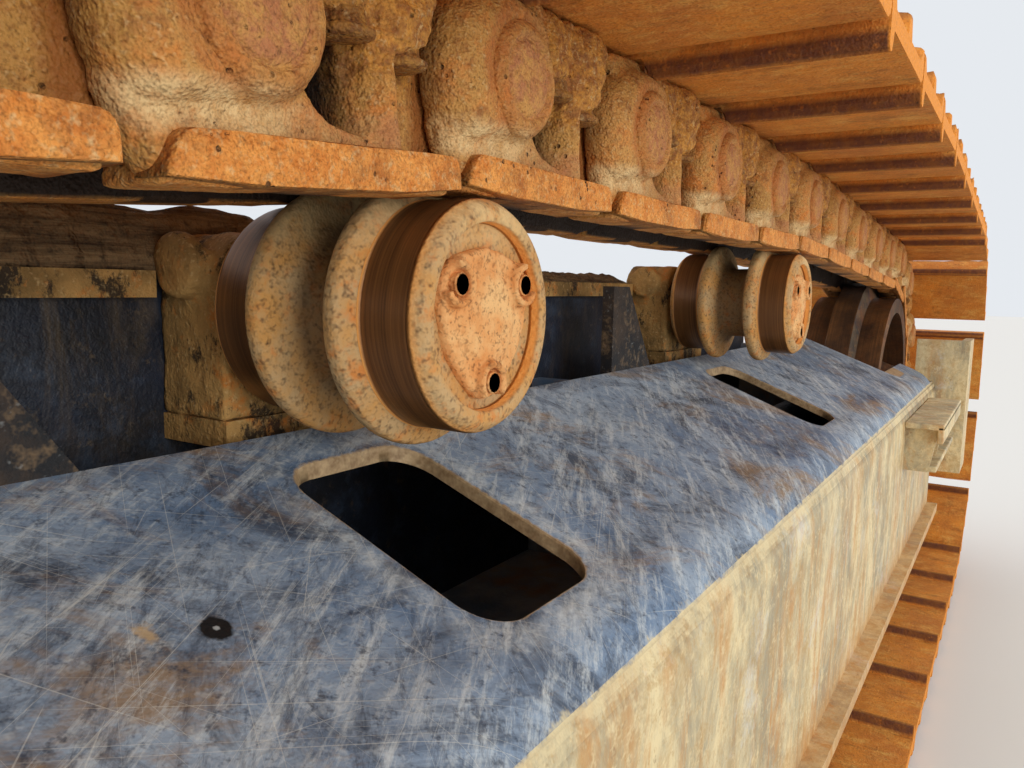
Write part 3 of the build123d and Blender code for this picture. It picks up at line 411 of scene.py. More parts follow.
def worn_deck(colours):
    """The frame's skin: scratched blue-grey steel on the deck and cream streaked paint on the side, the blue-grey
    a painted shade and the cream a painted sunlight, split by which way each face turns.
    """
    g = Graph("worn_deck")
    x, y, z = g.axes()
    up = g.axes(g.normal)[2]
    cloud = g.noise(3.6, 8, 0.72, bend=0.7)
    deck = g.blotch(colours.deck_blue, colours.deck_grey, cloud, 0.38, 0.6)
    deck = g.mix(g.span(g.noise(8.0, 8, 0.78, bend=0.9), 0.49, 0.62, 0.0, 0.8), deck, colours.deck_dark)
    dirt = g.noise(4.2, 7, 0.75, g.turned(24.0, 1.0, 1.8, 1.0), 0.6)
    deck = g.blotch(deck, colours.deck_brown, dirt, 0.52, 0.64, 0.85)
    brushed = g.noise(7.0, 8, 0.8, g.turned(-28.0, 1.0, 9.0, 3.0))
    deck = g.blotch(deck, colours.deck_pale, brushed, 0.5, 0.66, 0.75)
    brushed = g.noise(9.0, 8, 0.8, g.turned(-46.0, 1.2, 8.0, 3.0))
    deck = g.blotch(deck, colours.deck_dark, brushed, 0.52, 0.66, 0.65)
    speckle = g.noise(60.0, 7, 0.82)
    deck = g.blotches(deck, (colours.deck_pale, speckle, 0.53, 0.68, 0.5),
                      (colours.deck_dark, (85.0, 6, 0.82), 0.54, 0.66, 0.75))
    for scratches in DECK_SCRATCHES:
        deck = g.mix(g.times(g.fine_lines(*scratches), 0.34), deck, colours.scratch)
    # Painted light: faces turned up get the deck's blue-grey, a painted shade, and faces turned sideways the
    # side's cream, a painted sunlight; a band of that cream runs up the bend.
    side = cream_coat(g, colours)
    ragged = g.math("ADD", up, g.span(g.noise(26.0, 7, 0.8), 0.3, 0.7, -0.09, 0.09))
    shaded_deck = g.span(ragged, 0.50, 0.60, 0.0, 1.0, smooth=True)
    sunlit_bend = near_value(g, ragged, 0.49, 0.02, 0.08)
    colour = g.mix(shaded_deck, side, deck)
    colour = g.mix(g.times(sunlit_bend, 0.6), colour, colours.side_cream)
    gap = slot_distance(g, x, y)
    beside = g.times(g.span(gap, 0.004, 0.014), g.span(gap, 0.014, 0.04, 1.0, 0.0))
    colour = g.mix(g.times(beside, shaded_deck, g.span(g.noise(30.0, 6, 0.8), 0.4, 0.62, 0.0, 0.6)), colour,
                   colours.deck_pale)
    ragged_edge = g.span(g.noise(130.0, 4, 0.7), 0.3, 0.7, -0.0014, 0.0014)
    scab = away_from(g, x, y, RUST_SCAB)
    colour = g.mix(g.span(g.math("ADD", scab, g.times(ragged_edge, 3.0)), 0.003, 0.008, 0.9, 0.0), colour,
                   colours.cut_tan)
    # Painted shade and highlight: the plug hole is only a black disc on the flat deck, for the shade inside it,
    # with a pale painted highlight on the plug at its middle.
    hole = g.math("ADD", away_from(g, x, y, PLUG_HOLE), ragged_edge)
    colour = g.mix(g.span(hole, 0.0085, 0.0105, 1.0, 0.0), colour, colours.wall_black)
    colour = g.mix(g.span(hole, 0.0012, 0.0024, 0.6, 0.0), colour, colours.deck_pale)
    rim = g.times(g.span(g.math("ADD", gap, ragged_edge), 0.0005, 0.003, 1.0, 0.0), g.span(z, 0.5, 0.55))
    cut = g.blotch(colours.cut_tan, colours.deck_brown, (90.0, 6, 0.8), 0.4, 0.6)
    colour = g.mix(rim, colour, cut)
    grain = g.noise(120.0, 7, 0.8)
    dents = g.bump(g.noise(6.0, 2, 0.5), 0.014, 0.35)
    rough = g.span(cloud, 0.35, 0.65, 0.45, 0.68)
    return g.finish(colour, rough, g.bump(grain, 0.0022, 0.7, dents), 0.1, specular=0.4)


def dark_wall(colours):
    """The inner wall: near-black blue, blotched, with faint tan runs from the ledge; the blue is dark paint with a
    painted shade's blue cast.
    """
    g = Graph("dark_wall")
    _, _, z = g.axes()
    # Partly painted shade: the navy and paler blue are the dark paint as it looks in shade.
    colour = g.blotch(colours.wall_navy, colours.wall_black, (7.0, 6, 0.7), 0.35, 0.65)
    colour = g.blotch(colour, colours.wall_blue, (16.0, 7, 0.8), 0.5, 0.66, 0.6)
    runs = g.noise(4.0, 7, 0.75, g.scaled(4.0, 4.0, 1.0), bend=1.2)
    colour = g.mix(g.times(g.span(runs, 0.5, 0.7), g.span(z, 0.70, 0.93), 0.55), colour, colours.wall_tan)
    colour = g.blotch(colour, colours.wall_tan, (40.0, 6, 0.8), 0.57, 0.7, 0.5)
    grain = g.noise(150.0, 5, 0.75)
    return g.finish(colour, 0.5, g.bump(grain, 0.0022, 0.8))


def grimy_plate(colours):
    """Deck gussets: dark grey-brown grime with paler blotches."""
    g = Graph("grimy_plate")
    colour = g.blotch(colours.soil_dark, colours.wall_black, (9.0, 7, 0.75), 0.38, 0.6)
    colour = g.blotches(colour, (colours.soil_tan, (26.0, 7, 0.8), 0.52, 0.66, 0.8),
                        (colours.deck_pale, (100.0, 5, 0.8), 0.58, 0.72, 0.3))
    grain = g.noise(140.0, 6, 0.8)
    return g.finish(colour, 0.75, g.bump(grain, 0.003, 0.8))


def wheel_steel(colours):
    """Idler, sprocket and track rollers: polished brown where the chain runs, dusty on the faces."""
    g = Graph("wheel_steel")
    side = g.span(g.math("ABSOLUTE", g.axes(g.normal)[1]), 0.35, 0.75)
    rings = g.noise(2.0, 5, 0.75, g.scaled(2.0, 110.0, 2.0))
    tread = g.blotch(colours.tread_dark, colours.tread_brown, rings, 0.35, 0.65)
    tread = g.blotch(tread, colours.rust_brown, (20.0, 6, 0.75), 0.52, 0.68, 0.8)
    face = g.blotch(colours.wall_tan, colours.rust_brown, (9.0, 7, 0.75), 0.38, 0.6)
    face = g.blotches(face, (colours.deck_dark, (17.0, 7, 0.8), 0.5, 0.64, 0.8),
                      (colours.rust_tan, (60.0, 6, 0.8), 0.54, 0.68, 0.7))
    colour = g.mix(side, tread, face)
    # Painted shade: black blotches darken the wheels, which stand in shade under the frame and chain.
    colour = g.mix(g.span(g.noise(6.0, 6, 0.7), 0.35, 0.6, 0.2, 0.75), colour, colours.wall_black)
    grain = g.noise(180.0, 5, 0.8)
    lump = g.bump(g.noise(34.0, 6, 0.7), 0.004, 0.6)
    return g.finish(colour, g.span(side, 0.0, 1.0, 0.42, 0.82), g.bump(grain, 0.002, 0.8, lump))


def mottled_bracket(colours):
    """Brackets, ledges and shelves: tan dirt with black and orange blotches."""
    g = Graph("mottled_bracket")
    blotch = g.noise(26.0, 7, 0.8, g.scaled(1.0, 1.0, 0.6))
    colour = g.blotch(colours.bracket_tan, colours.bracket_olive, (11.0, 6, 0.65), 0.4, 0.6)
    colour = g.blotches(colour, (colours.rust_orange, (30.0, 6, 0.75), 0.55, 0.68, 0.8),
                        (colours.wall_black, blotch, 0.53, 0.60, 0.88))
    grain = g.noise(230.0, 5, 0.8)
    colour = g.blotch(colour, colours.pale_speck, grain, 0.54, 0.68, 0.6)
    lump = g.bump(g.noise(42.0, 6, 0.7), 0.007, 0.8)
    return g.finish(colour, 0.85, g.bump(grain, 0.0024, 0.8, lump), specular=0.3)


def painted_frame(colours):
    """Plates of the frame that show less: dusty blue-grey paint, its blue-grey the deck's painted shade."""
    g = Graph("painted_frame")
    colour = g.blotch(colours.deck_blue, colours.deck_grey, (5.0, 6, 0.65), 0.4, 0.62)
    colour = g.blotch(colour, colours.deck_brown, (9.0, 6, 0.7), 0.5, 0.7)
    grain = g.noise(160.0, 4, 0.7)
    return g.finish(colour, 0.6, g.bump(grain, 0.0012, 0.6))


def turned_steel(colours):
    """Shafts and bolts of the drive: turned steel with fine rings."""
    g = Graph("turned_steel")
    rings = g.noise(4.0, 3, 0.6, g.scaled(3.0, 90.0, 3.0))
    colour = g.blotch(colours.tread_dark, colours.tread_brown, rings, 0.35, 0.65)
    return g.finish(colour, 0.4, g.bump(rings, 0.0006, 0.4), 0.5)


def made(finish, context):
    """Each finish is made once, under its own name."""
    return bpy.data.materials.get(finish.__name__) or finish(context.scene.crawler_colours)


# Mesh helpers

def shown(name, mesh, material, body="frame", nodes=()):
    """Puts a finished mesh in the scene, riding on its body."""
    piece = bpy.data.objects.new(name, mesh)
    bpy.context.scene.collection.objects.link(piece)
    if not mesh.materials:
        mesh.materials.append(material)
    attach(piece, body)
    if nodes:
        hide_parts(*nodes)
    return piece


def to_mesh(bm, name, smooth=True):
    bmesh.ops.recalc_face_normals(bm, faces=bm.faces)
    mesh = bpy.data.meshes.new(name)
    bm.to_mesh(mesh)
    bm.free()
    if smooth:
        mesh.shade_smooth()
    return mesh


def coordinates(mesh):
    flat = np.empty(len(mesh.vertices) * 3, dtype=np.float32)
    mesh.vertices.foreach_get("co", flat)
    return flat.reshape(-1, 3)


def vector_attribute(mesh, name, values):
    layer = mesh.attributes.new(name, "FLOAT_VECTOR", "POINT")
    layer.data.foreach_set("vector", np.asarray(values, dtype=np.float32).ravel())


def rings(bm, loops):
    """A closed bar: a face over the first loop is extruded from loop to loop, all of equal length."""
    end = bm.faces.new([bm.verts.new(point) for point in loops[0]])
    for loop in loops[1:]:
        drawn = bmesh.ops.extrude_face_region(bm, geom=[end])["geom"]
        end = next(part for part in drawn if isinstance(part, bmesh.types.BMFace))
        for vert, point in zip(end.verts, loop):
            vert.co = point


def softened(points, rounds=2):
    """Cuts the corners of a closed outline, so that it turns smoothly."""
    for _ in range(rounds):
        cut = []
        for a, b in zip(points, points[1:] + points[:1]):
            cut.append(tuple(0.75 * p + 0.25 * q for p, q in zip(a, b)))
            cut.append(tuple(0.25 * p + 0.75 * q for p, q in zip(a, b)))
        points = cut
    return points


def plate(bm, outline, near, far, edge, rounds=2):
    """A plate from depth near to far; each point of its outline says how much of the edge it rounds."""
    outline = softened(outline, rounds)
    middle_u = sum(p[0] for p in outline) / len(outline)
    middle_v = sum(p[1] for p in outline) / len(outline)
    loops = [[Vector((u, -near, v)) for u, v, _ in outline]]
    for step in range(6):
        angle = math.radians(90.0 * step / 5)
        depth, inset = far - edge + edge * math.sin(angle), edge * (1 - math.cos(angle))
        loop = []
        for u, v, share in outline:
            away = math.hypot(u - middle_u, v - middle_v)
            scale = 1.0 - inset * share / away
            loop.append(Vector((middle_u + (u - middle_u) * scale, -depth,
                                middle_v + (v - middle_v) * scale)))
        loops.append(loop)
    rings(bm, loops)


def column(bm, section, low, high, flare=0.0):
    """An upright bar with a section given along and outwards, widening towards its foot."""
    middle = sum(p[0] for p in section) / len(section)
    loops = []
    for v in (low, low + 18, low + 32, low + 48, high):
        widen = 1.0 + flare * max(0.0, (low + 48 - v) / 48.0) ** 1.6
        loops.append([Vector((middle + (u - middle) * widen, -w, v)) for u, w in section])
    rings(bm, loops)


def lathe(bm, profile, centre, steps, axis=(0.0, 1.0, 0.0)):
    """Spins a profile of radius and place along the axis; points on the axis are merged."""
    axis, centre = Vector(axis), Vector(centre)
    out = Vector((1.0, 0.0, 0.0))
    verts = [bm.verts.new(centre + out * radius + axis * along) for radius, along in profile]
    edges = [bm.edges.new(pair) for pair in zip(verts, verts[1:])]
    bmesh.ops.spin(bm, geom=verts + edges, cent=centre, axis=axis, angle=math.tau, steps=steps,
                   use_merge=True)
    bmesh.ops.remove_doubles(bm, verts=bm.verts, dist=1e-5)


def evaluated(piece, name):
    bpy.context.view_layer.update()
    depsgraph = bpy.context.evaluated_depsgraph_get()
    mesh = bpy.data.meshes.new_from_object(piece.evaluated_get(depsgraph))
    mesh.name = name
    return mesh


def with_modifiers(mesh, name, *modifiers):
    """The mesh after a list of modifiers, each a kind and its settings."""
    piece = bpy.data.objects.new(name, mesh)
    bpy.context.scene.collection.objects.link(piece)
    for kind, settings in modifiers:
        modifier = piece.modifiers.new(kind.lower(), kind)
        for key, value in settings.items():
            setattr(modifier, key, value)
    result = evaluated(piece, name)
    bpy.data.objects.remove(piece)
    return result


def cast(bm, name, voxel, soften):
    """Fuses overlapping forms into one casting with soft corners."""
    rough = to_mesh(bm, name)
    return with_modifiers(rough, name, ("REMESH", {"mode": "VOXEL", "voxel_size": voxel}),
                          ("SMOOTH", {"factor": 0.5, "iterations": soften}))


def thinned(mesh, name, triangles):
    """A copy of a mesh with about as many triangles as asked."""
    count = sum(len(p.vertices) - 2 for p in mesh.polygons)
    copy = with_modifiers(mesh, name, ("DECIMATE", {"ratio": min(1.0, triangles / count)}))
    copy.shade_smooth()
    return copy


def repeated(sources, places, name):
    """One mesh with a copy of each source at each place."""
    bm = bmesh.new()
    smooth = []
    for place in places:
        first = len(bm.verts)
        for source in sources:
            bm.from_mesh(source)
            smooth += [source.polygons[0].use_smooth] * len(source.polygons)
        bm.verts.ensure_lookup_table()
        bmesh.ops.transform(bm, matrix=place, verts=bm.verts[first:])
    mesh = to_mesh(bm, name, smooth=False)
    mesh.polygons.foreach_set("use_smooth", smooth)
    return mesh


def roughened(mesh, size, amount, seed):
    """Moves each point along its normal by smooth noise, like the skin of a casting."""
    shift = Vector((seed * 7.3, seed * 3.1, seed * 5.7))
    moved = []
    for vert in mesh.vertices:
        lump = noise.noise(vert.co / size + shift) + 0.5 * noise.noise(vert.co * 2.3 / size + shift)
        moved.append(vert.co + vert.normal * lump * amount)
    for vert, place in zip(mesh.vertices, moved):
        vert.co = place


def node_copy(name):
    """The shape of a piece that stays as built, merged so that it can be worked on."""
    bm = bmesh.new()
    bm.from_mesh(frame["nodes"][name].data)
    bmesh.ops.remove_doubles(bm, verts=bm.verts, dist=1e-6)
    bmesh.ops.dissolve_limit(bm, angle_limit=math.radians(1.0), verts=bm.verts, edges=bm.edges)
    return bm


# Chain

LINK_STEEL_Y = 54.0       # inner face of a link row, from the chain's middle
OUTER_EYE = 86.0          # inner face of a link's outer eye, beside its neighbour's inner eye
SHOE_SEAT = 73.0          # pin centre to the face that the shoe is bolted on
SHOE_THICK = 20.0
GROUSER = 30.0            # how far a new grouser stands above the shoe
SHOE_LOW, SHOE_HIGH = -4.0, 251.0     # edges of a shoe along its link
# Cuts through a shoe on each side of its middle, the last two at its end
SHOE_STATIONS = (70.0, 110.0, 118.0, 160.0, 215.0, 270.0, 320.0, 347.0, 350.0)
WEAR = 8.0                # most that a grouser has lost
LIP_START = 112.0         # the bent-down lip stops short of the links
NUTS = ((84.0, 23.0), (135.0, 12.0))      # along a link and above its pin
HEADS = ((70.0, 0.0), (178.0, 0.0))       # bolt heads, in the troughs between the grousers
BOLT_OUT = 97.0           # out from the chain's middle
LINK_COUNT = 46
NEAR_AHEAD, NEAR_HALF = 0.45, 0.65        # the upper links near the camera, in metres along the chain
NEAR_TRIANGLES, FAR_TRIANGLES = 14000, 3000     # of one casting


def loose_centres(mesh):
    """The middle of each separate solid in a mesh."""
    bm = bmesh.new()
    bm.from_mesh(mesh)
    bmesh.ops.remove_doubles(bm, verts=bm.verts, dist=1e-6)
    left, centres = set(bm.verts), []
    while left:
        group, reach = [], [left.pop()]
        while reach:
            vert = reach.pop()
            group.append(vert.co.copy())
            others = {edge.other_vert(vert) for edge in vert.link_edges} & left
            left -= others
            reach.extend(others)
        centres.append(sum(group, Vector()) / len(group))
    bm.free()
    return centres


def link_places():
    """A matrix for each link: along the chain, outwards over the row, and up towards the shoe."""
    pins = loose_centres(frame["nodes"]["track_bushes"].data)
    pins.sort(key=lambda p: -math.atan2(p.z - IDLER_Z, p.x))
    places = []
    for pin, after in zip(pins, pins[1:] + pins[:1]):
        along = (after - pin).normalized()
        above = Vector((-along.z, 0.0, along.x))
        turn = Matrix((along, Vector((0.0, 1.0, 0.0)), above)).transposed().to_4x4()
        places.append(Matrix.Translation((pin.x, TRACK_Y, pin.z)) @ turn @ Matrix.Scale(MM, 4))
    return places


def cast_link():
    """One outer link, in millimetres from its own pin: x along, -y outwards, z towards the shoe."""
    bm = bmesh.new()
    head = [(-36, -54, 0.6), (-64, -62, 0.9), (-85, -34, 1), (-88, 4, 1), (-78, 34, 1), (-52, 54, 0.9),
            (-14, 61, 0.7), (26, 60, 0.6), (42, 42, 0.3), (42, 10, 0.15), (40, -30, 0.15), (30, -50, 0.4)]
    plate(bm, head, OUTER_EYE, 127, 28)
    skirt = [(-58, -95, 0.8), (-70, -74, 1), (-84, -36, 1), (-52, -10, 1), (30, -10, 0.2), (36, -60, 1),
             (30, -95, 1)]
    plate(bm, skirt, OUTER_EYE, 109, 16)
    root = [(-14, -95, 1), (-16, -40, 1), (-10, -10, 1), (30, -10, 0.2), (40, -40, 1), (60, -56, 1),
            (112, -64, 1), (170, -76, 1), (182, -95, 1)]
    plate(bm, root, LINK_STEEL_Y, 107, 24)
    under_foot = [(-58, -95, 1), (-56, -76, 1), (178, -76, 1), (180, -95, 1)]
    plate(bm, under_foot, LINK_STEEL_Y, 108, 4, rounds=0)
    strut = [(92, 54), (92, 84), (101, 104), (110, 114), (118, 114), (124, 98), (128, 54)]
    column(bm, strut, -80, 60, flare=0.5)
    first_boss = [(60, 72, 1), (58, 50, 1), (60, 16, 1), (74, 6, 1), (94, 6, 1), (104, 18, 1), (108, 72, 1)]
    plate(bm, first_boss, LINK_STEEL_Y, 112, 14)
    boss = [(112, 72, 1), (112, 40, 1), (112, 10, 1), (122, -8, 1), (142, -8, 1), (158, 10, 1), (164, 28, 1),
            (166, 50, 1), (162, 72, 1)]
    plate(bm, boss, LINK_STEEL_Y, 119, 15)
    bar = [(-70, 46, 1), (-40, 40, 1), (60, 40, 1), (100, 44, 1), (158, 48, 1), (162, 72, 1), (-72, 72, 1)]
    plate(bm, bar, OUTER_EYE, 108, 10, rounds=1)
    tail = [(100, 72, 1), (104, -60, 1), (180, -94, 1), (200, -88, 1), (240, -80, 1), (286, -52, 1),
            (304, -18, 1), (304, 22, 1), (284, 54, 1), (250, 72, 1)]
    plate(bm, tail, LINK_STEEL_Y - 1, OUTER_EYE - 3, 6)
    return cast(bm, "link", 3.0, 4)


def rail_foot():
    """The rail's worn foot, which stands out of the casting with a crisp edge."""
    bm = bmesh.new()
    foot = [(-62, -95, 1), (-57, -80, 1), (-52, -70, 1), (-44, -66.5, 1), (60, -67, 1), (172, -67, 1),
            (180, -70, 1), (183, -78, 1), (183, -95, 1)]
    plate(bm, foot, 90, 118, 5, rounds=1)
    return to_mesh(bm, "rail_foot")


def shape_head(mesh):
    """Sinks a shallow round seat for the pin and lets rust lumps swell over the shoe bolts' bosses."""
    for vert in mesh.vertices:
        u, w, v = vert.co.x, -vert.co.y, vert.co.z
        if w > 105.0 and u < 58.0:
            reach = math.hypot(u, v + 4.0)
            sunk = min(1.0, max(0.0, (56.0 - reach) / 14.0))
            vert.co.y += 2.4 * sunk * sunk * (3.0 - 2.0 * sunk)
        if 58.0 < u < 170.0 and v > -20.0 and w > 58.0:
            lump = noise.noise(vert.co / 13.0) + 0.6 * noise.noise(vert.co / 6.0)
            vert.co += vert.normal * 3.2 * lump


def link_row(sources, places, side, name):
    """Copies one link to each place; side is -1 for the outer row and 1 for its mirror image."""
    mirrored = Matrix.Scale(-1.0, 4, (0.0, 1.0, 0.0)) if side > 0 else Matrix.Identity(4)
    mesh = repeated(sources, [place @ mirrored for place in places], name)
    mark_places(mesh, sources, len(places), "link_place")
    return mesh


def mark_places(mesh, sources, copies, name):
    """Each point's place along, out from and above its own pin, for the finishes."""
    local = np.concatenate([coordinates(source) for source in sources]) * MM
    local[:, 1] = -local[:, 1]
    vector_attribute(mesh, name, np.tile(local, (copies, 1)))


def pin_end():
    """The end of a pin, flush in its rim, with a groove between them."""
    bm = bmesh.new()
    profile = [(0, 131), (14, 131.5), (25, 131), (28, 129.5), (29.5, 127.5), (31, 128), (33, 131),
               (36, 131.5), (40, 129.5), (44, 125), (44, 118)]
    lathe(bm, [(r, -w) for r, w in profile], (0, 0, -4), 22)
    return to_mesh(bm, "pin_end")


def shoe_nut():
    """The flange of a shoe bolt's nut, under its lumpy boss."""
    bm = bmesh.new()
    lathe(bm, [(0, -25), (19, -25), (23, -23), (23, -20), (18, -17), (17, -8)], (0, 0, 0), 12, axis=(0, 0, 1))
    return to_mesh(bm, "shoe_nut")


def bolt_head():
    """A shoe bolt's head, outside between the grousers."""
    bm = bmesh.new()
    top = SHOE_SEAT + SHOE_THICK
    hexagon = [(math.cos(math.tau * k / 6), math.sin(math.tau * k / 6)) for k in range(6)]
    levels = ((17.0, top - 1), (17.0, top + 11), (14.5, top + 14))
    rings(bm, [[Vector((r * x, r * y, z)) for x, y in hexagon] for r, z in levels])
    return to_mesh(bm, "bolt_head", smooth=False)


def bolt_places(places, along):
    """Matrices at the four bolts of each shoe."""
    return [place @ Matrix.Translation((u, side * BOLT_OUT, v)) for place in places for u, v in along
            for side in (-1, 1)]


def shoe_section(wear, lip):
    """A shoe cut across: plate, three worn grousers and, beside the links, the lip at its rear edge."""
    low, high = SHOE_LOW, SHOE_HIGH
    under, over = SHOE_SEAT, SHOE_SEAT + SHOE_THICK
    middle = (low + high) / 2
    tips = [over + GROUSER - w for w in wear]
    points = [(high - 16, under), (high - 5, under + 5), (high, under + 13), (high - 1, over),
              (high - 4, tips[2]), (high - 14, tips[2] - 1), (high - 28, over)]
    points += [(middle + 15, over), (middle + 8, tips[1] - 1), (middle, tips[1]), (middle - 8, tips[1] - 1),
               (middle - 15, over), (low + 28, over), (low + 14, tips[0] - 1), (low + 4, tips[0]),
               (low + 1, over)]
    points += [(low, under + 4), (low - 1, under - 12 * lip), (low + 2, under - 19 * lip),
               (low + 8, under - 22 * lip), (low + 15, under - 19 * lip), (low + 20, under - 8 * lip),
               (low + 23, under)]
    return points


def one_shoe(rng):
    """A shoe with its own wear along the grousers."""
    bm = bmesh.new()
    stations = [*(-station for station in reversed(SHOE_STATIONS)), 0.0, *SHOE_STATIONS]
    worn = rng.uniform(0.0, WEAR, (len(stations), 3))
    sections = []
    for station, wear in zip(stations, worn):
        away = abs(station)
        end = 6.0 if away == SHOE_STATIONS[-1] else 2.0 if away == SHOE_STATIONS[-2] else 0.0
        lip = 1.0 if away > LIP_START else 0.0
        section = shoe_section(wear + end, lip)
        sections.append([Vector((u, station, v)) for u, v in section])
    rings(bm, sections)
    return to_mesh(bm, "shoe", smooth=False)


def shoe_loop(places):
    """All shoes as one mesh, each a little different."""
    rng = np.random.default_rng(7)
    bm = bmesh.new()
    local = []
    for place in places:
        first = len(bm.verts)
        shoe = one_shoe(rng)
        local.append(coordinates(shoe) * MM)
        bm.from_mesh(shoe)
        bm.verts.ensure_lookup_table()
        bmesh.ops.transform(bm, matrix=place, verts=bm.verts[first:])
    mesh = to_mesh(bm, "shoes", smooth=False)
    vector_attribute(mesh, "shoe_place", np.concatenate(local))
    return mesh


# Carrier rollers

CARRIER_END = 115.0       # half of a roller's length
CAP_BOLTS = (30.0, 150.0, 270.0)      # angles round the cap
CAP_BOLT_CIRCLE = 52.0
CAP_BOLT_SEAT = 107.0     # bottom of a cap's pocket, from the roller's middle
SMALL_TRIANGLES = 9000    # of a cap and of a bracket


def carrier_wheel():
    """A carrier roller about its own middle: two treads, two flanges, a waist and the cap's recess."""
    bm = bmesh.new()
    end = CARRIER_END
    profile = [(0, -end + 14, 0), (74, -end + 13, 2), (75, -end + 1, 2), (86, -end, 6), (94, -end + 11, 4),
               (93.5, -58, 3), (95, -55, 2), (109, -50, 4), (110, -42, 3), (108.5, -35, 3), (88, -30, 8),
               (66, -18, 6), (65, 18, 6), (84, 30, 8), (107, 34, 4), (110, 41, 3), (109, 50, 4), (95, 55, 2),
               (93.5, 58, 3), (94, end - 11, 4), (86, end, 6), (40, end, 2), (37, end - 6, 0)]
    lathe(bm, filleted(profile), (0, 0, 0), 96)
    return to_mesh(bm, "carrier_wheel")


def filleted(points):
    """Rounds the corners of an open outline, each by its third value."""
    outline = [points[0][:2]]
    for before, (a, b, cut), after in zip(points, points[1:], points[2:]):
        here = Vector((a, b))
        start = here + (Vector(before[:2]) - here).normalized() * cut
        end = here + (Vector(after[:2]) - here).normalized() * cut
        for share in (0.0, 0.33, 0.67, 1.0) if cut else (0.0,):
            point = start * (1 - share) ** 2 + here * 2 * share * (1 - share) + end * share ** 2
            outline.append(tuple(point))
    outline.append(points[-1][:2])
    return outline


def roller_cap():
    """A cap with three lobes, each a pocket between two ears for its bolt."""
    bm = bmesh.new()
    outline = []
    for k in range(72):
        angle = 5.0 * k
        lobe = max(math.exp(-((angle - at + 180) % 360 - 180) ** 2 / 620.0) for at in CAP_BOLTS)
        reach = 55.0 + 11.0 * lobe
        outline.append((reach * math.cos(math.radians(angle)), reach * math.sin(math.radians(angle)), 1))
    plate(bm, outline, 100, 110, 4, rounds=0)
    dome = [(40 * math.cos(math.tau * k / 24), 40 * math.sin(math.tau * k / 24), 1) for k in range(24)]
    plate(bm, dome, 100, 113, 8, rounds=0)
    for at in CAP_BOLTS:
        out = Vector((math.cos(math.radians(at)), 0.0, math.sin(math.radians(at))))
        centre = out * CAP_BOLT_CIRCLE
        start = Matrix.Rotation(math.radians(-50.0), 4, "Y") @ out
        corners = [centre + start * radius + Vector((0.0, -w, 0.0)) for radius, w in
                   ((11, 102), (19, 102), (18, 117), (15, 119), (12, 117))]
        ear = bm.faces.new([bm.verts.new(corner) for corner in corners])
        bmesh.ops.spin(bm, geom=[ear, *ear.edges, *ear.verts], cent=centre, axis=(0.0, -1.0, 0.0),
                       angle=math.radians(260.0), steps=16)
    cap = cast(bm, "roller_cap", 1.5, 2)
    for vert in cap.vertices:
        vert.co.y += 2.5 * math.exp(-(math.hypot(vert.co.x, vert.co.z) / 4.0) ** 2)
    roughened(cap, 9.0, 0.9, 3)
    return thinned(cap, "roller_cap", SMALL_TRIANGLES)


def socket_bolt():
    """A socket-head bolt in a cap's pocket, pointing out along -y from the origin."""
    bm = bmesh.new()
    loops = []
    for radius, depth, hexagon in ((9.0, 0.0, 0), (9.0, 9.0, 0), (8.0, 10.0, 0), (5.6, 10.0, 1),
                                   (5.2, 4.0, 1)):
        loop = []
        for k in range(12):
            angle = math.tau * k / 12
            reach = radius if k % 2 or not hexagon else radius * math.cos(math.pi / 6)
            loop.append(Vector((reach * math.cos(angle), -depth, reach * math.sin(angle))))
        loops.append(loop)
    rings(bm, loops)
    return to_mesh(bm, "socket_bolt", smooth=False)


def rough_bracket(name):
    """A carrier's bracket as a weathered casting, with a lumpy clamp boss."""
    bm = node_copy(name)
    bmesh.ops.triangulate(bm, faces=bm.faces)
    bracket = cast(bm, name + "_cast", 0.0042, 2)
    for vert in bracket.vertices:
        place = vert.co / 0.03
        lump = noise.noise(place) + 0.5 * noise.noise(place * 2.7)
        vert.co += vert.normal * 0.0022 * lump
    return thinned(bracket, name + "_worn", SMALL_TRIANGLES)


# Side frame

SLOT_EDGE = 0.0025        # how far a slot's cut edge is rounded
HIGH_HEAP, LOW_HEAP = 0.060, 0.016
HEAP_REAR = -0.56         # from a carrier, along the wall
HEAP_FRONTS = {True: 0.11, False: -0.09}


def edge_by_slot(edge):
    middle = (edge.verts[0].co + edge.verts[1].co) / 2
    return any(abs(middle.x - carrier.x) < SLOT_HALF_X + 0.005 for carrier in CARRIERS)


def worn_skin():
    """The deck and side plate, its slots' cut edges rounded over."""
    bm = node_copy("frame_skin")
    rims = []
    for edge in bm.edges:
        if len(edge.link_faces) != 2:
            continue
        first, second = edge.link_faces
        deck = max(first.normal.z, second.normal.z)
        wall = min(abs(first.normal.z), abs(second.normal.z))
        inside = all(abs(vert.co.y - SLOT_MIDDLE_Y) < SLOT_HALF_Y + 0.014 for vert in edge.verts)
        if deck > 0.8 and wall < 0.1 and inside and edge_by_slot(edge):
            rims.append(edge)
    if not rims:
        raise ValueError("the slots' rims were not found")
    bmesh.ops.bevel(bm, geom=rims, offset=SLOT_EDGE, segments=2, affect="EDGES", profile=0.5, material=-1)
    bmesh.ops.triangulate(bm, faces=[face for face in bm.faces if len(face.verts) > 4])
    mesh = to_mesh(bm, "skin")
    mesh.set_sharp_from_angle(angle=math.radians(32.0))
    return mesh


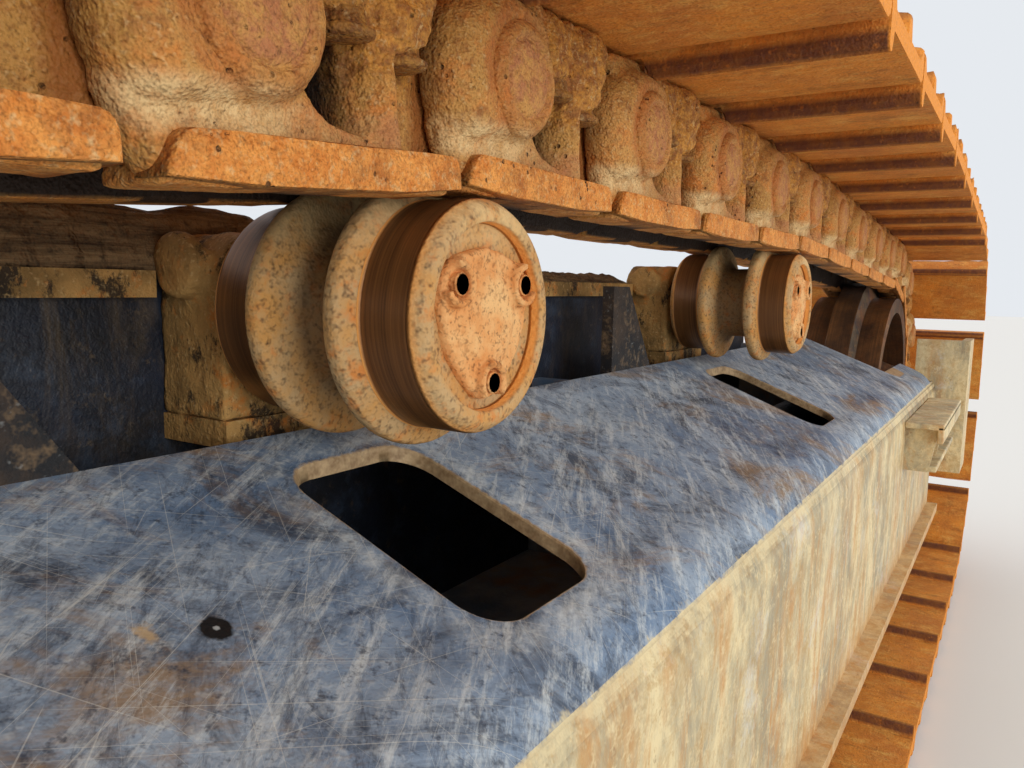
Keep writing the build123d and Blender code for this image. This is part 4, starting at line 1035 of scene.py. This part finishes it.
def soil_heap(bm, rear, front, height, seed):
    """Soil on the wall's top and ledge, uneven along its crest and tapering at its ends."""
    near, back, base = TRACK_Y + 0.196, TRACK_Y + 0.241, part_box("frame_ledge")[1].z
    steps = 48
    loops = []
    for k in range(steps + 1):
        share = k / steps
        x = rear + (front - rear) * share
        taper = min(1.0, 6.0 * share + 0.05, 9.0 * (1.0 - share) + 0.05)
        waves, lumps = noise.noise(Vector((x * 14, seed, 0))), noise.noise(Vector((x * 55, seed, 3)))
        rise = (1.0 + 0.22 * waves + 0.14 * lumps) * taper * height
        loop = [Vector((x, near, base)), Vector((x, back, base))]
        for j in range(7):
            across = 1.0 - j / 6
            crown = (1.0 - abs(2 * across - 1.15) ** 2.6 * 0.6) * rise
            wobble = 0.004 * noise.noise(Vector((x * 60, across * 5, seed)))
            loop.append(Vector((x, near + (back - near) * across, base + max(0.001, crown + wobble * taper))))
        loops.append(loop)
    rings(bm, loops)


def wall_soil():
    """A heap behind each carrier's bracket, the highest one at the middle carrier."""
    bm = bmesh.new()
    for number, carrier in enumerate(CARRIERS):
        high = carrier is MIDDLE_CARRIER
        soil_heap(bm, carrier.x + HEAP_REAR, carrier.x + HEAP_FRONTS[high], HIGH_HEAP if high else LOW_HEAP,
                  number + 1.0)
    bmesh.ops.subdivide_edges(bm, edges=bm.edges, cuts=1, use_grid_fill=True)
    return to_mesh(bm, "wall_soil")


# Drive and step

COVER_BOLTS = (8, 100.0, 15.0, 12.0)        # how many, circle, radius of the head, height
SPROCKET_BOLTS = (21, 277.0, 15.0, 14.0)
STEP_GUSSETS = (0.06, 0.35, 0.65, 0.94)     # places along the step


def hex_bolts(bm, node, count, circle, radius, height):
    """A ring of hexagon heads on the outer face of a turned piece, each with its washer."""
    low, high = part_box(node)
    middle = Vector(((low.x + high.x) / 2, low.y, (low.z + high.z) / 2))
    for k in range(count):
        angle = math.tau * (k + 0.5) / count
        seat = middle + Vector((math.cos(angle), 0.0, math.sin(angle))) * circle * MM
        for sides, wide, tall in ((20, radius * 1.35, 3.0), (6, radius, height)):
            turn = Matrix.Rotation(math.radians(90.0), 4, "X") @ Matrix.Rotation(angle, 4, "Z")
            place = Matrix.Translation(seat - Vector((0.0, tall * MM / 2, 0.0))) @ turn
            head = bmesh.ops.create_cone(bm, cap_ends=True, segments=sides, radius1=wide * MM,
                                         radius2=wide * MM * 0.97, depth=tall * MM, matrix=place)
            top = [e for e in {e for v in head["verts"] for e in v.link_edges}
                   if all(v.co.y < seat.y - tall * MM * 0.9 for v in e.verts)]
            bmesh.ops.bevel(bm, geom=top, offset=1.2 * MM, segments=2, affect="EDGES", profile=0.5,
                            material=-1)


def drive_bolts():
    """Bolts of the final drive's cover and of the sprocket."""
    bm = bmesh.new()
    hex_bolts(bm, "final_drive_cover", *COVER_BOLTS)
    hex_bolts(bm, "sprocket", *SPROCKET_BOLTS)
    return to_mesh(bm, "drive_bolts", smooth=False)


def flat_bar(bm, low, high, edge=0.003):
    """A plate between two corners, its edges rounded."""
    low, high = Vector(low), Vector(high)
    place = Matrix.Translation((low + high) / 2) @ Matrix.Diagonal((*(high - low), 1.0))
    bar = bmesh.ops.create_cube(bm, size=1.0, matrix=place)
    edges = list({e for v in bar["verts"] for e in v.link_edges})
    bmesh.ops.bevel(bm, geom=edges, offset=edge, segments=3, affect="EDGES", profile=0.5, material=-1)


def step_treads():
    """The step on the side plate: two treads, the upper with a bent lip, on four tapered gussets."""
    low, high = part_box("step_bracket")
    thick = 0.014
    bm = bmesh.new()
    flat_bar(bm, (low.x, low.y, high.z - thick), high)
    flat_bar(bm, (low.x, low.y, high.z - 0.045), (high.x, low.y + thick, high.z - 0.004))
    flat_bar(bm, (low.x + 0.03, low.y + 0.012, low.z), (high.x - 0.03, high.y, low.z + thick))
    for share in STEP_GUSSETS:
        x = low.x + (high.x - low.x) * share
        corners = [(high.y, low.z), (high.y, high.z - thick), (low.y + 0.012, high.z - thick),
                   (low.y + 0.030, low.z)]
        rings(bm, [[Vector((x + side, y, z)) for y, z in corners] for side in (-thick / 2, thick / 2)])
    return to_mesh(bm, "step_treads", smooth=False)


# Settings

def colour_property(name, description, red, green, blue):
    """A colour as it looks on a screen, 0 to 255, kept as light."""
    light = [((c / 255 + 0.055) / 1.055) ** 2.4 if c > 10 else c / 255 / 12.92 for c in (red, green, blue)]
    return FloatVectorProperty(name=name, description=description, default=light, subtype="COLOR", min=0.0,
                               max=1.0)


COLOURS = {
    "rust_orange": ("Fresh rust on castings", 208, 124, 48),
    "rust_brown": ("Settled rust on castings", 142, 86, 40),
    "rust_tan": ("Dusty rust on castings", 200, 146, 78),
    "rust_dark": ("Dark specks of rust", 66, 42, 24),
    "olive": ("Olive dust on the links' heads", 184, 136, 68),
    "pale_speck": ("Pale specks of mortar-like dust", 222, 190, 134),
    "disc_pink": ("Pin ends, purple-brown", 180, 118, 74),
    "halo": ("Ring of rust round the pin ends", 180, 106, 50),
    "band_cream": ("Pale dust above the rail foot", 226, 192, 136),
    "boss_yellow": ("Lumpy rust on nuts and bosses", 210, 148, 62),
    "crevice": ("Rust between neighbouring links", 142, 78, 26),
    # Also the painted shade in the links' recesses.
    "pit": ("Bottom of the pits", 44, 30, 20),
    "rail_orange": ("Bright edge of the rails", 236, 162, 80),
    # Also the painted sunlight on the shoes' cut ends.
    "shoe_orange": ("Bright rust of the shoes", 228, 144, 50),
    "shoe_yellow": ("Yellow dust on the shoes", 234, 178, 90),
    "shoe_brown": ("Darker rust of the shoes", 202, 124, 50),
    "shoe_dark": ("Dark rust of the shoes", 130, 78, 34),
    # Painted shade: the purple-brown is how the shoes' lips look in shade.
    "lip_purple": ("Purple-brown lips of the shoes", 106, 62, 40),
    "roller_tan": ("Rough faces of the rollers", 190, 156, 108),
    "tread_dark": ("Polished tread, dark rings", 92, 60, 34),
    "tread_brown": ("Polished tread, brown rings", 138, 92, 50),
    "cap_tan": ("End caps of the rollers", 230, 182, 122),
    "cap_orange": ("Rust on the end caps", 216, 146, 82),
    # Painted shade: the deck's paint as it looks in shade.
    "deck_blue": ("Worn blue-grey of the deck", 98, 124, 154),
    "deck_grey": ("Pale worn deck", 158, 172, 186),
    # Also the painted highlight on the deck's plug.
    "deck_pale": ("Rubbed places on the deck", 214, 219, 217),
    "deck_brown": ("Dirt on the deck", 150, 122, 88),
    "deck_dark": ("Dark patches on the deck", 44, 52, 68),
    "scratch": ("Scratches on the deck", 226, 224, 212),
    "cut_tan": ("Torch-cut edges of the slots", 192, 164, 124),
    # Painted sunlight: the side's paint as it looks in sun.
    "side_cream": ("Faded paint of the side", 226, 208, 162),
    "side_grey": ("Worn paint of the side", 160, 150, 124),
    "side_tan": ("Dusty patches on the side", 182, 146, 90),
    "side_rust": ("Rust runs on the side", 196, 134, 62),
    "soil_dark": ("Damp layers of the soil", 66, 50, 36),
    "soil_tan": ("Dry layers of the soil", 134, 108, 76),
    # Partly painted shade: dark paint as it looks in shade.
    "wall_navy": ("Dark paint of the inner wall", 32, 42, 60),
    "wall_blue": ("Paler paint of the inner wall", 66, 80, 98),
    # Also painted shade on the wheels and in the deck's plug hole.
    "wall_black": ("Grime on the inner wall", 24, 24, 26),
    "wall_tan": ("Runs on the inner wall", 124, 104, 76),
    "bracket_tan": ("Dirt on the brackets", 186, 144, 84),
    "bracket_olive": ("Olive paint on the brackets", 128, 100, 58),
}


class CrawlerColours(bpy.types.PropertyGroup):
    __annotations__ = {name: colour_property(name.replace("_", " ").title(), *colour)
                       for name, colour in COLOURS.items()}


class CrawlerStage(bpy.types.PropertyGroup):
    camera_place: FloatVectorProperty(name="Camera", description="Where the camera stands",
                                      default=(-0.6333, -0.488, 0.942), subtype="TRANSLATION", unit="LENGTH")
    camera_turn: FloatVectorProperty(name="Camera Turn", default=(32.23, -6.97, 1.08),
                                     description="Yaw from +X, pitch and roll, in degrees")
    lens: FloatProperty(name="Lens", description="Focal length in millimetres on a 36 mm sensor",
                        default=28.43, min=10.0, max=200.0)
    floor: colour_property("Floor", "Plain pale floor", 228, 226, 222)
    backdrop: colour_property("Backdrop", "What the camera sees behind the object", 230, 234, 239)
    sky: FloatProperty(name="Sky", description="Light from all round", default=1.02, min=0.0)
    key: FloatProperty(name="Key", description="Light from the outer side", default=1.1, min=0.0)


# Operators

SLOT_FINISHES = {"link_steel": rusty_forging, "shoe_steel": rusty_shoe, "roller_steel": wheel_steel,
                 "shaft_steel": turned_steel, "frame_paint": painted_frame, "frame_inner": dark_wall,
                 "bracket_paint": mottled_bracket}
SPECIAL_FINISHES = {"frame_skin": worn_deck, "carrier_cap": cap_rust, "carrier_roller": carrier_steel,
                    "frame_flanges": cream_paint, "step_bracket": cream_paint, "front_guard": cream_paint,
                    "frame_ledge": mottled_bracket, "carrier_shelves": mottled_bracket,
                    "deck_gussets": grimy_plate, "idler_guide_arms": grimy_plate}


FLOOR_HALF = 40.0
KEY_AHEAD, KEY_ANGLE = Vector((0.35, 0.92, -0.16)), 25.0      # where the key light points, and its softness
SENSOR = 36.0


class CRAWLER_OT_finishes(bpy.types.Operator):
    """Gives each piece that stays as built its worn finish"""
    bl_idname = "crawler.finishes"
    bl_label = "Finishes"

    def execute(self, context):
        for entry in frame["record"]["subparts"]:
            name = entry["node"]
            finish = next((special for start, special in SPECIAL_FINISHES.items() if name.startswith(start)),
                          SLOT_FINISHES[entry["material_slot"]])
            material = made(finish, context)
            data = frame["nodes"][name].data
            data.materials.clear()
            data.materials.append(material)
        return {"FINISHED"}


class CRAWLER_OT_chain(bpy.types.Operator):
    """Builds the links, pins, nuts and shoes of the chain"""
    bl_idname = "crawler.chain"
    bl_label = "Chain"

    def execute(self, context):
        forging, shoe_steel = made(rusty_forging, context), made(rusty_shoe, context)
        places = link_places()
        if len(places) != LINK_COUNT:
            raise ValueError(f"expected {LINK_COUNT} links, found {len(places)}")
        link = cast_link()
        shape_head(link)
        roughened(link, 22.0, 0.7, 1)
        fine, plain = thinned(link, "fine_link", NEAR_TRIANGLES), thinned(link, "plain_link", FAR_TRIANGLES)
        foot = rail_foot()
        middle = context.scene.crawler_stage.camera_place[0] + NEAR_AHEAD
        near = [p for p in places if p.translation.z > IDLER_Z and abs(p.translation.x - middle) < NEAR_HALF]
        far = [p for p in places if p not in near]
        for name, sources, group, side, node in (
                ("links_outer_near", (fine, foot), near, -1, "track_links_outer"),
                ("links_outer_far", (plain, foot), far, -1, "track_links_outer"),
                ("links_inner", (plain, foot), places, 1, "track_links_inner")):
            shown(name, link_row(sources, group, side, name), forging, nodes=(node,))
        ends = []
        for place in places:
            ends += [place, place @ Matrix.Scale(-1.0, 4, (0.0, 1.0, 0.0))]
        pins = repeated([pin_end()], ends, "pins")
        mark_places(pins, [pin_end()], len(ends), "link_place")
        shown("pins", pins, forging)
        nuts = repeated([shoe_nut()], bolt_places(places, NUTS), "shoe_nuts")
        vector_attribute(nuts, "link_place", np.tile((0.09, 0.09, 0.0), (len(nuts.vertices), 1)))
        shown("shoe_nuts", nuts, forging)
        heads = repeated([bolt_head()], bolt_places(places, HEADS), "shoe_bolts")
        vector_attribute(heads, "shoe_place", np.tile((0.09, 0.0, 0.11), (len(heads.vertices), 1)))
        shown("shoe_bolts", heads, shoe_steel)
        shown("shoes", shoe_loop(places), shoe_steel, nodes=("track_shoes",))
        return {"FINISHED"}


class CRAWLER_OT_carriers(bpy.types.Operator):
    """Builds the carrier rollers with their caps, bolts and brackets"""
    bl_idname = "crawler.carriers"
    bl_label = "Carrier Rollers"

    def execute(self, context):
        steel, rust = made(carrier_steel, context), made(cap_rust, context)
        mottled = made(mottled_bracket, context)
        wheel, cap, bolt = carrier_wheel(), roller_cap(), socket_bolt()
        for number, centre in enumerate(CARRIERS, start=1):
            place = Matrix.Translation(centre) @ Matrix.Scale(MM, 4)
            seats = []
            for at in CAP_BOLTS:
                angle = math.radians(at)
                seat = (CAP_BOLT_CIRCLE * math.cos(angle), -CAP_BOLT_SEAT, CAP_BOLT_CIRCLE * math.sin(angle))
                seats.append(place @ Matrix.Translation(seat) @ Matrix.Rotation(angle, 4, "Y"))
            for kind, source, group, material, nodes in (
                    ("carrier_wheel", wheel, [place], steel, (f"carrier_roller_{number}",)),
                    ("roller_cap", cap, [place], rust, (f"carrier_cap_{number}",)),
                    ("cap_bolts", bolt, seats, rust, ())):
                name = f"{kind}_{number}"
                shown(name, repeated([source], group, name), material, nodes=nodes)
            name = f"carrier_bracket_{number}"
            shown(f"bracket_{number}", rough_bracket(name), mottled, nodes=(name,))
        return {"FINISHED"}


class CRAWLER_OT_side_frame(bpy.types.Operator):
    """Builds the worn deck and side plate, the soil on the wall and the step"""
    bl_idname = "crawler.side_frame"
    bl_label = "Side Frame"

    def execute(self, context):
        shown("deck_skin", worn_skin(), made(worn_deck, context), nodes=("frame_skin",))
        shown("wall_soil", wall_soil(), made(packed_soil, context))
        shown("step_treads", step_treads(), made(cream_paint, context),
              nodes=("step_bracket",))
        return {"FINISHED"}


class CRAWLER_OT_drive(bpy.types.Operator):
    """Builds the bolts of the final drive's cover and of the sprocket"""
    bl_idname = "crawler.drive"
    bl_label = "Drive Bolts"

    def execute(self, context):
        shown("drive_bolts", drive_bolts(), made(turned_steel, context))
        return {"FINISHED"}


class CRAWLER_OT_stage(bpy.types.Operator):
    """Lays the floor and places the lights and the camera"""
    bl_idname = "crawler.stage"
    bl_label = "Stage"

    def execute(self, context):
        stage = context.scene.crawler_stage
        bm = bmesh.new()
        bmesh.ops.create_grid(bm, x_segments=1, y_segments=1, size=FLOOR_HALF)
        floor = bpy.data.objects.new("floor", to_mesh(bm, "floor", smooth=False))
        context.scene.collection.objects.link(floor)
        g = Graph("pale_floor")
        floor.data.materials.append(g.finish(tuple(stage.floor), 0.8))

        world = bpy.data.worlds.new("studio")
        context.scene.world = world
        world.use_nodes = True
        tree = world.node_tree
        light = tree.nodes["Background"]
        light.inputs["Color"].default_value = (1.0, 1.0, 1.0, 1.0)
        light.inputs["Strength"].default_value = stage.sky
        seen = tree.nodes.new("ShaderNodeBackground")
        seen.inputs["Color"].default_value = (*stage.backdrop, 1.0)
        rays = tree.nodes.new("ShaderNodeLightPath").outputs
        sees = rays["Is Camera Ray"]
        for kind in ("Is Glossy Ray", "Is Transmission Ray"):
            either = tree.nodes.new("ShaderNodeMath")
            either.operation = "MAXIMUM"
            tree.links.new(sees, either.inputs[0])
            tree.links.new(rays[kind], either.inputs[1])
            sees = either.outputs[0]
        blend = tree.nodes.new("ShaderNodeMixShader")
        for source, socket in zip((sees, light.outputs[0], seen.outputs[0]), blend.inputs):
            tree.links.new(source, socket)
        tree.links.new(blend.outputs[0], tree.nodes["World Output"].inputs[0])

        sun = bpy.data.lights.new("key", "SUN")
        sun.energy = stage.key
        sun.angle = math.radians(KEY_ANGLE)
        key = bpy.data.objects.new("key", sun)
        context.scene.collection.objects.link(key)
        key.rotation_euler = KEY_AHEAD.to_track_quat("-Z", "Y").to_euler()

        lens = bpy.data.cameras.new("camera")
        lens.lens = stage.lens
        lens.sensor_width = SENSOR
        lens.clip_start = 0.01
        camera = bpy.data.objects.new("camera", lens)
        context.scene.collection.objects.link(camera)
        yaw, pitch, roll = (math.radians(a) for a in stage.camera_turn)
        ahead = Vector((math.cos(yaw) * math.cos(pitch), math.sin(yaw) * math.cos(pitch), math.sin(pitch)))
        level = Vector((math.sin(yaw), -math.cos(yaw), 0.0))
        upright = level.cross(ahead)
        right = level * math.cos(roll) + upright * math.sin(roll)
        up = upright * math.cos(roll) - level * math.sin(roll)
        turn = Matrix((right, up, -ahead)).transposed()
        camera.matrix_world = Matrix.Translation(stage.camera_place) @ turn.to_4x4()
        context.scene.camera = camera
        context.scene.view_settings.view_transform = "Standard"
        return {"FINISHED"}


class CRAWLER_PT_panel(bpy.types.Panel):
    """Lists what the add-on makes"""
    bl_idname = "CRAWLER_PT_panel"
    bl_label = "Crawler Track Unit"
    bl_space_type = "VIEW_3D"
    bl_region_type = "UI"
    bl_category = "Crawler"

    def draw(self, context):
        for operator in OPERATORS:
            self.layout.operator(operator.bl_idname)


OPERATORS = (CRAWLER_OT_finishes, CRAWLER_OT_chain, CRAWLER_OT_carriers, CRAWLER_OT_side_frame,
             CRAWLER_OT_drive, CRAWLER_OT_stage)
SETTINGS = {"crawler_colours": CrawlerColours, "crawler_stage": CrawlerStage}


def register():
    for group in SETTINGS.values():
        bpy.utils.register_class(group)
    for name, group in SETTINGS.items():
        setattr(bpy.types.Scene, name, PointerProperty(type=group))
    for cls in (*OPERATORS, CRAWLER_PT_panel):
        bpy.utils.register_class(cls)


def unregister():
    for cls in reversed((*OPERATORS, CRAWLER_PT_panel)):
        bpy.utils.unregister_class(cls)
    for name, group in SETTINGS.items():
        delattr(bpy.types.Scene, name)
        bpy.utils.unregister_class(group)


def main():
    register()
    for operator in OPERATORS:
        _, name = operator.bl_idname.split(".")
        getattr(bpy.ops.crawler, name)()


if __name__ == "__main__":
    main()
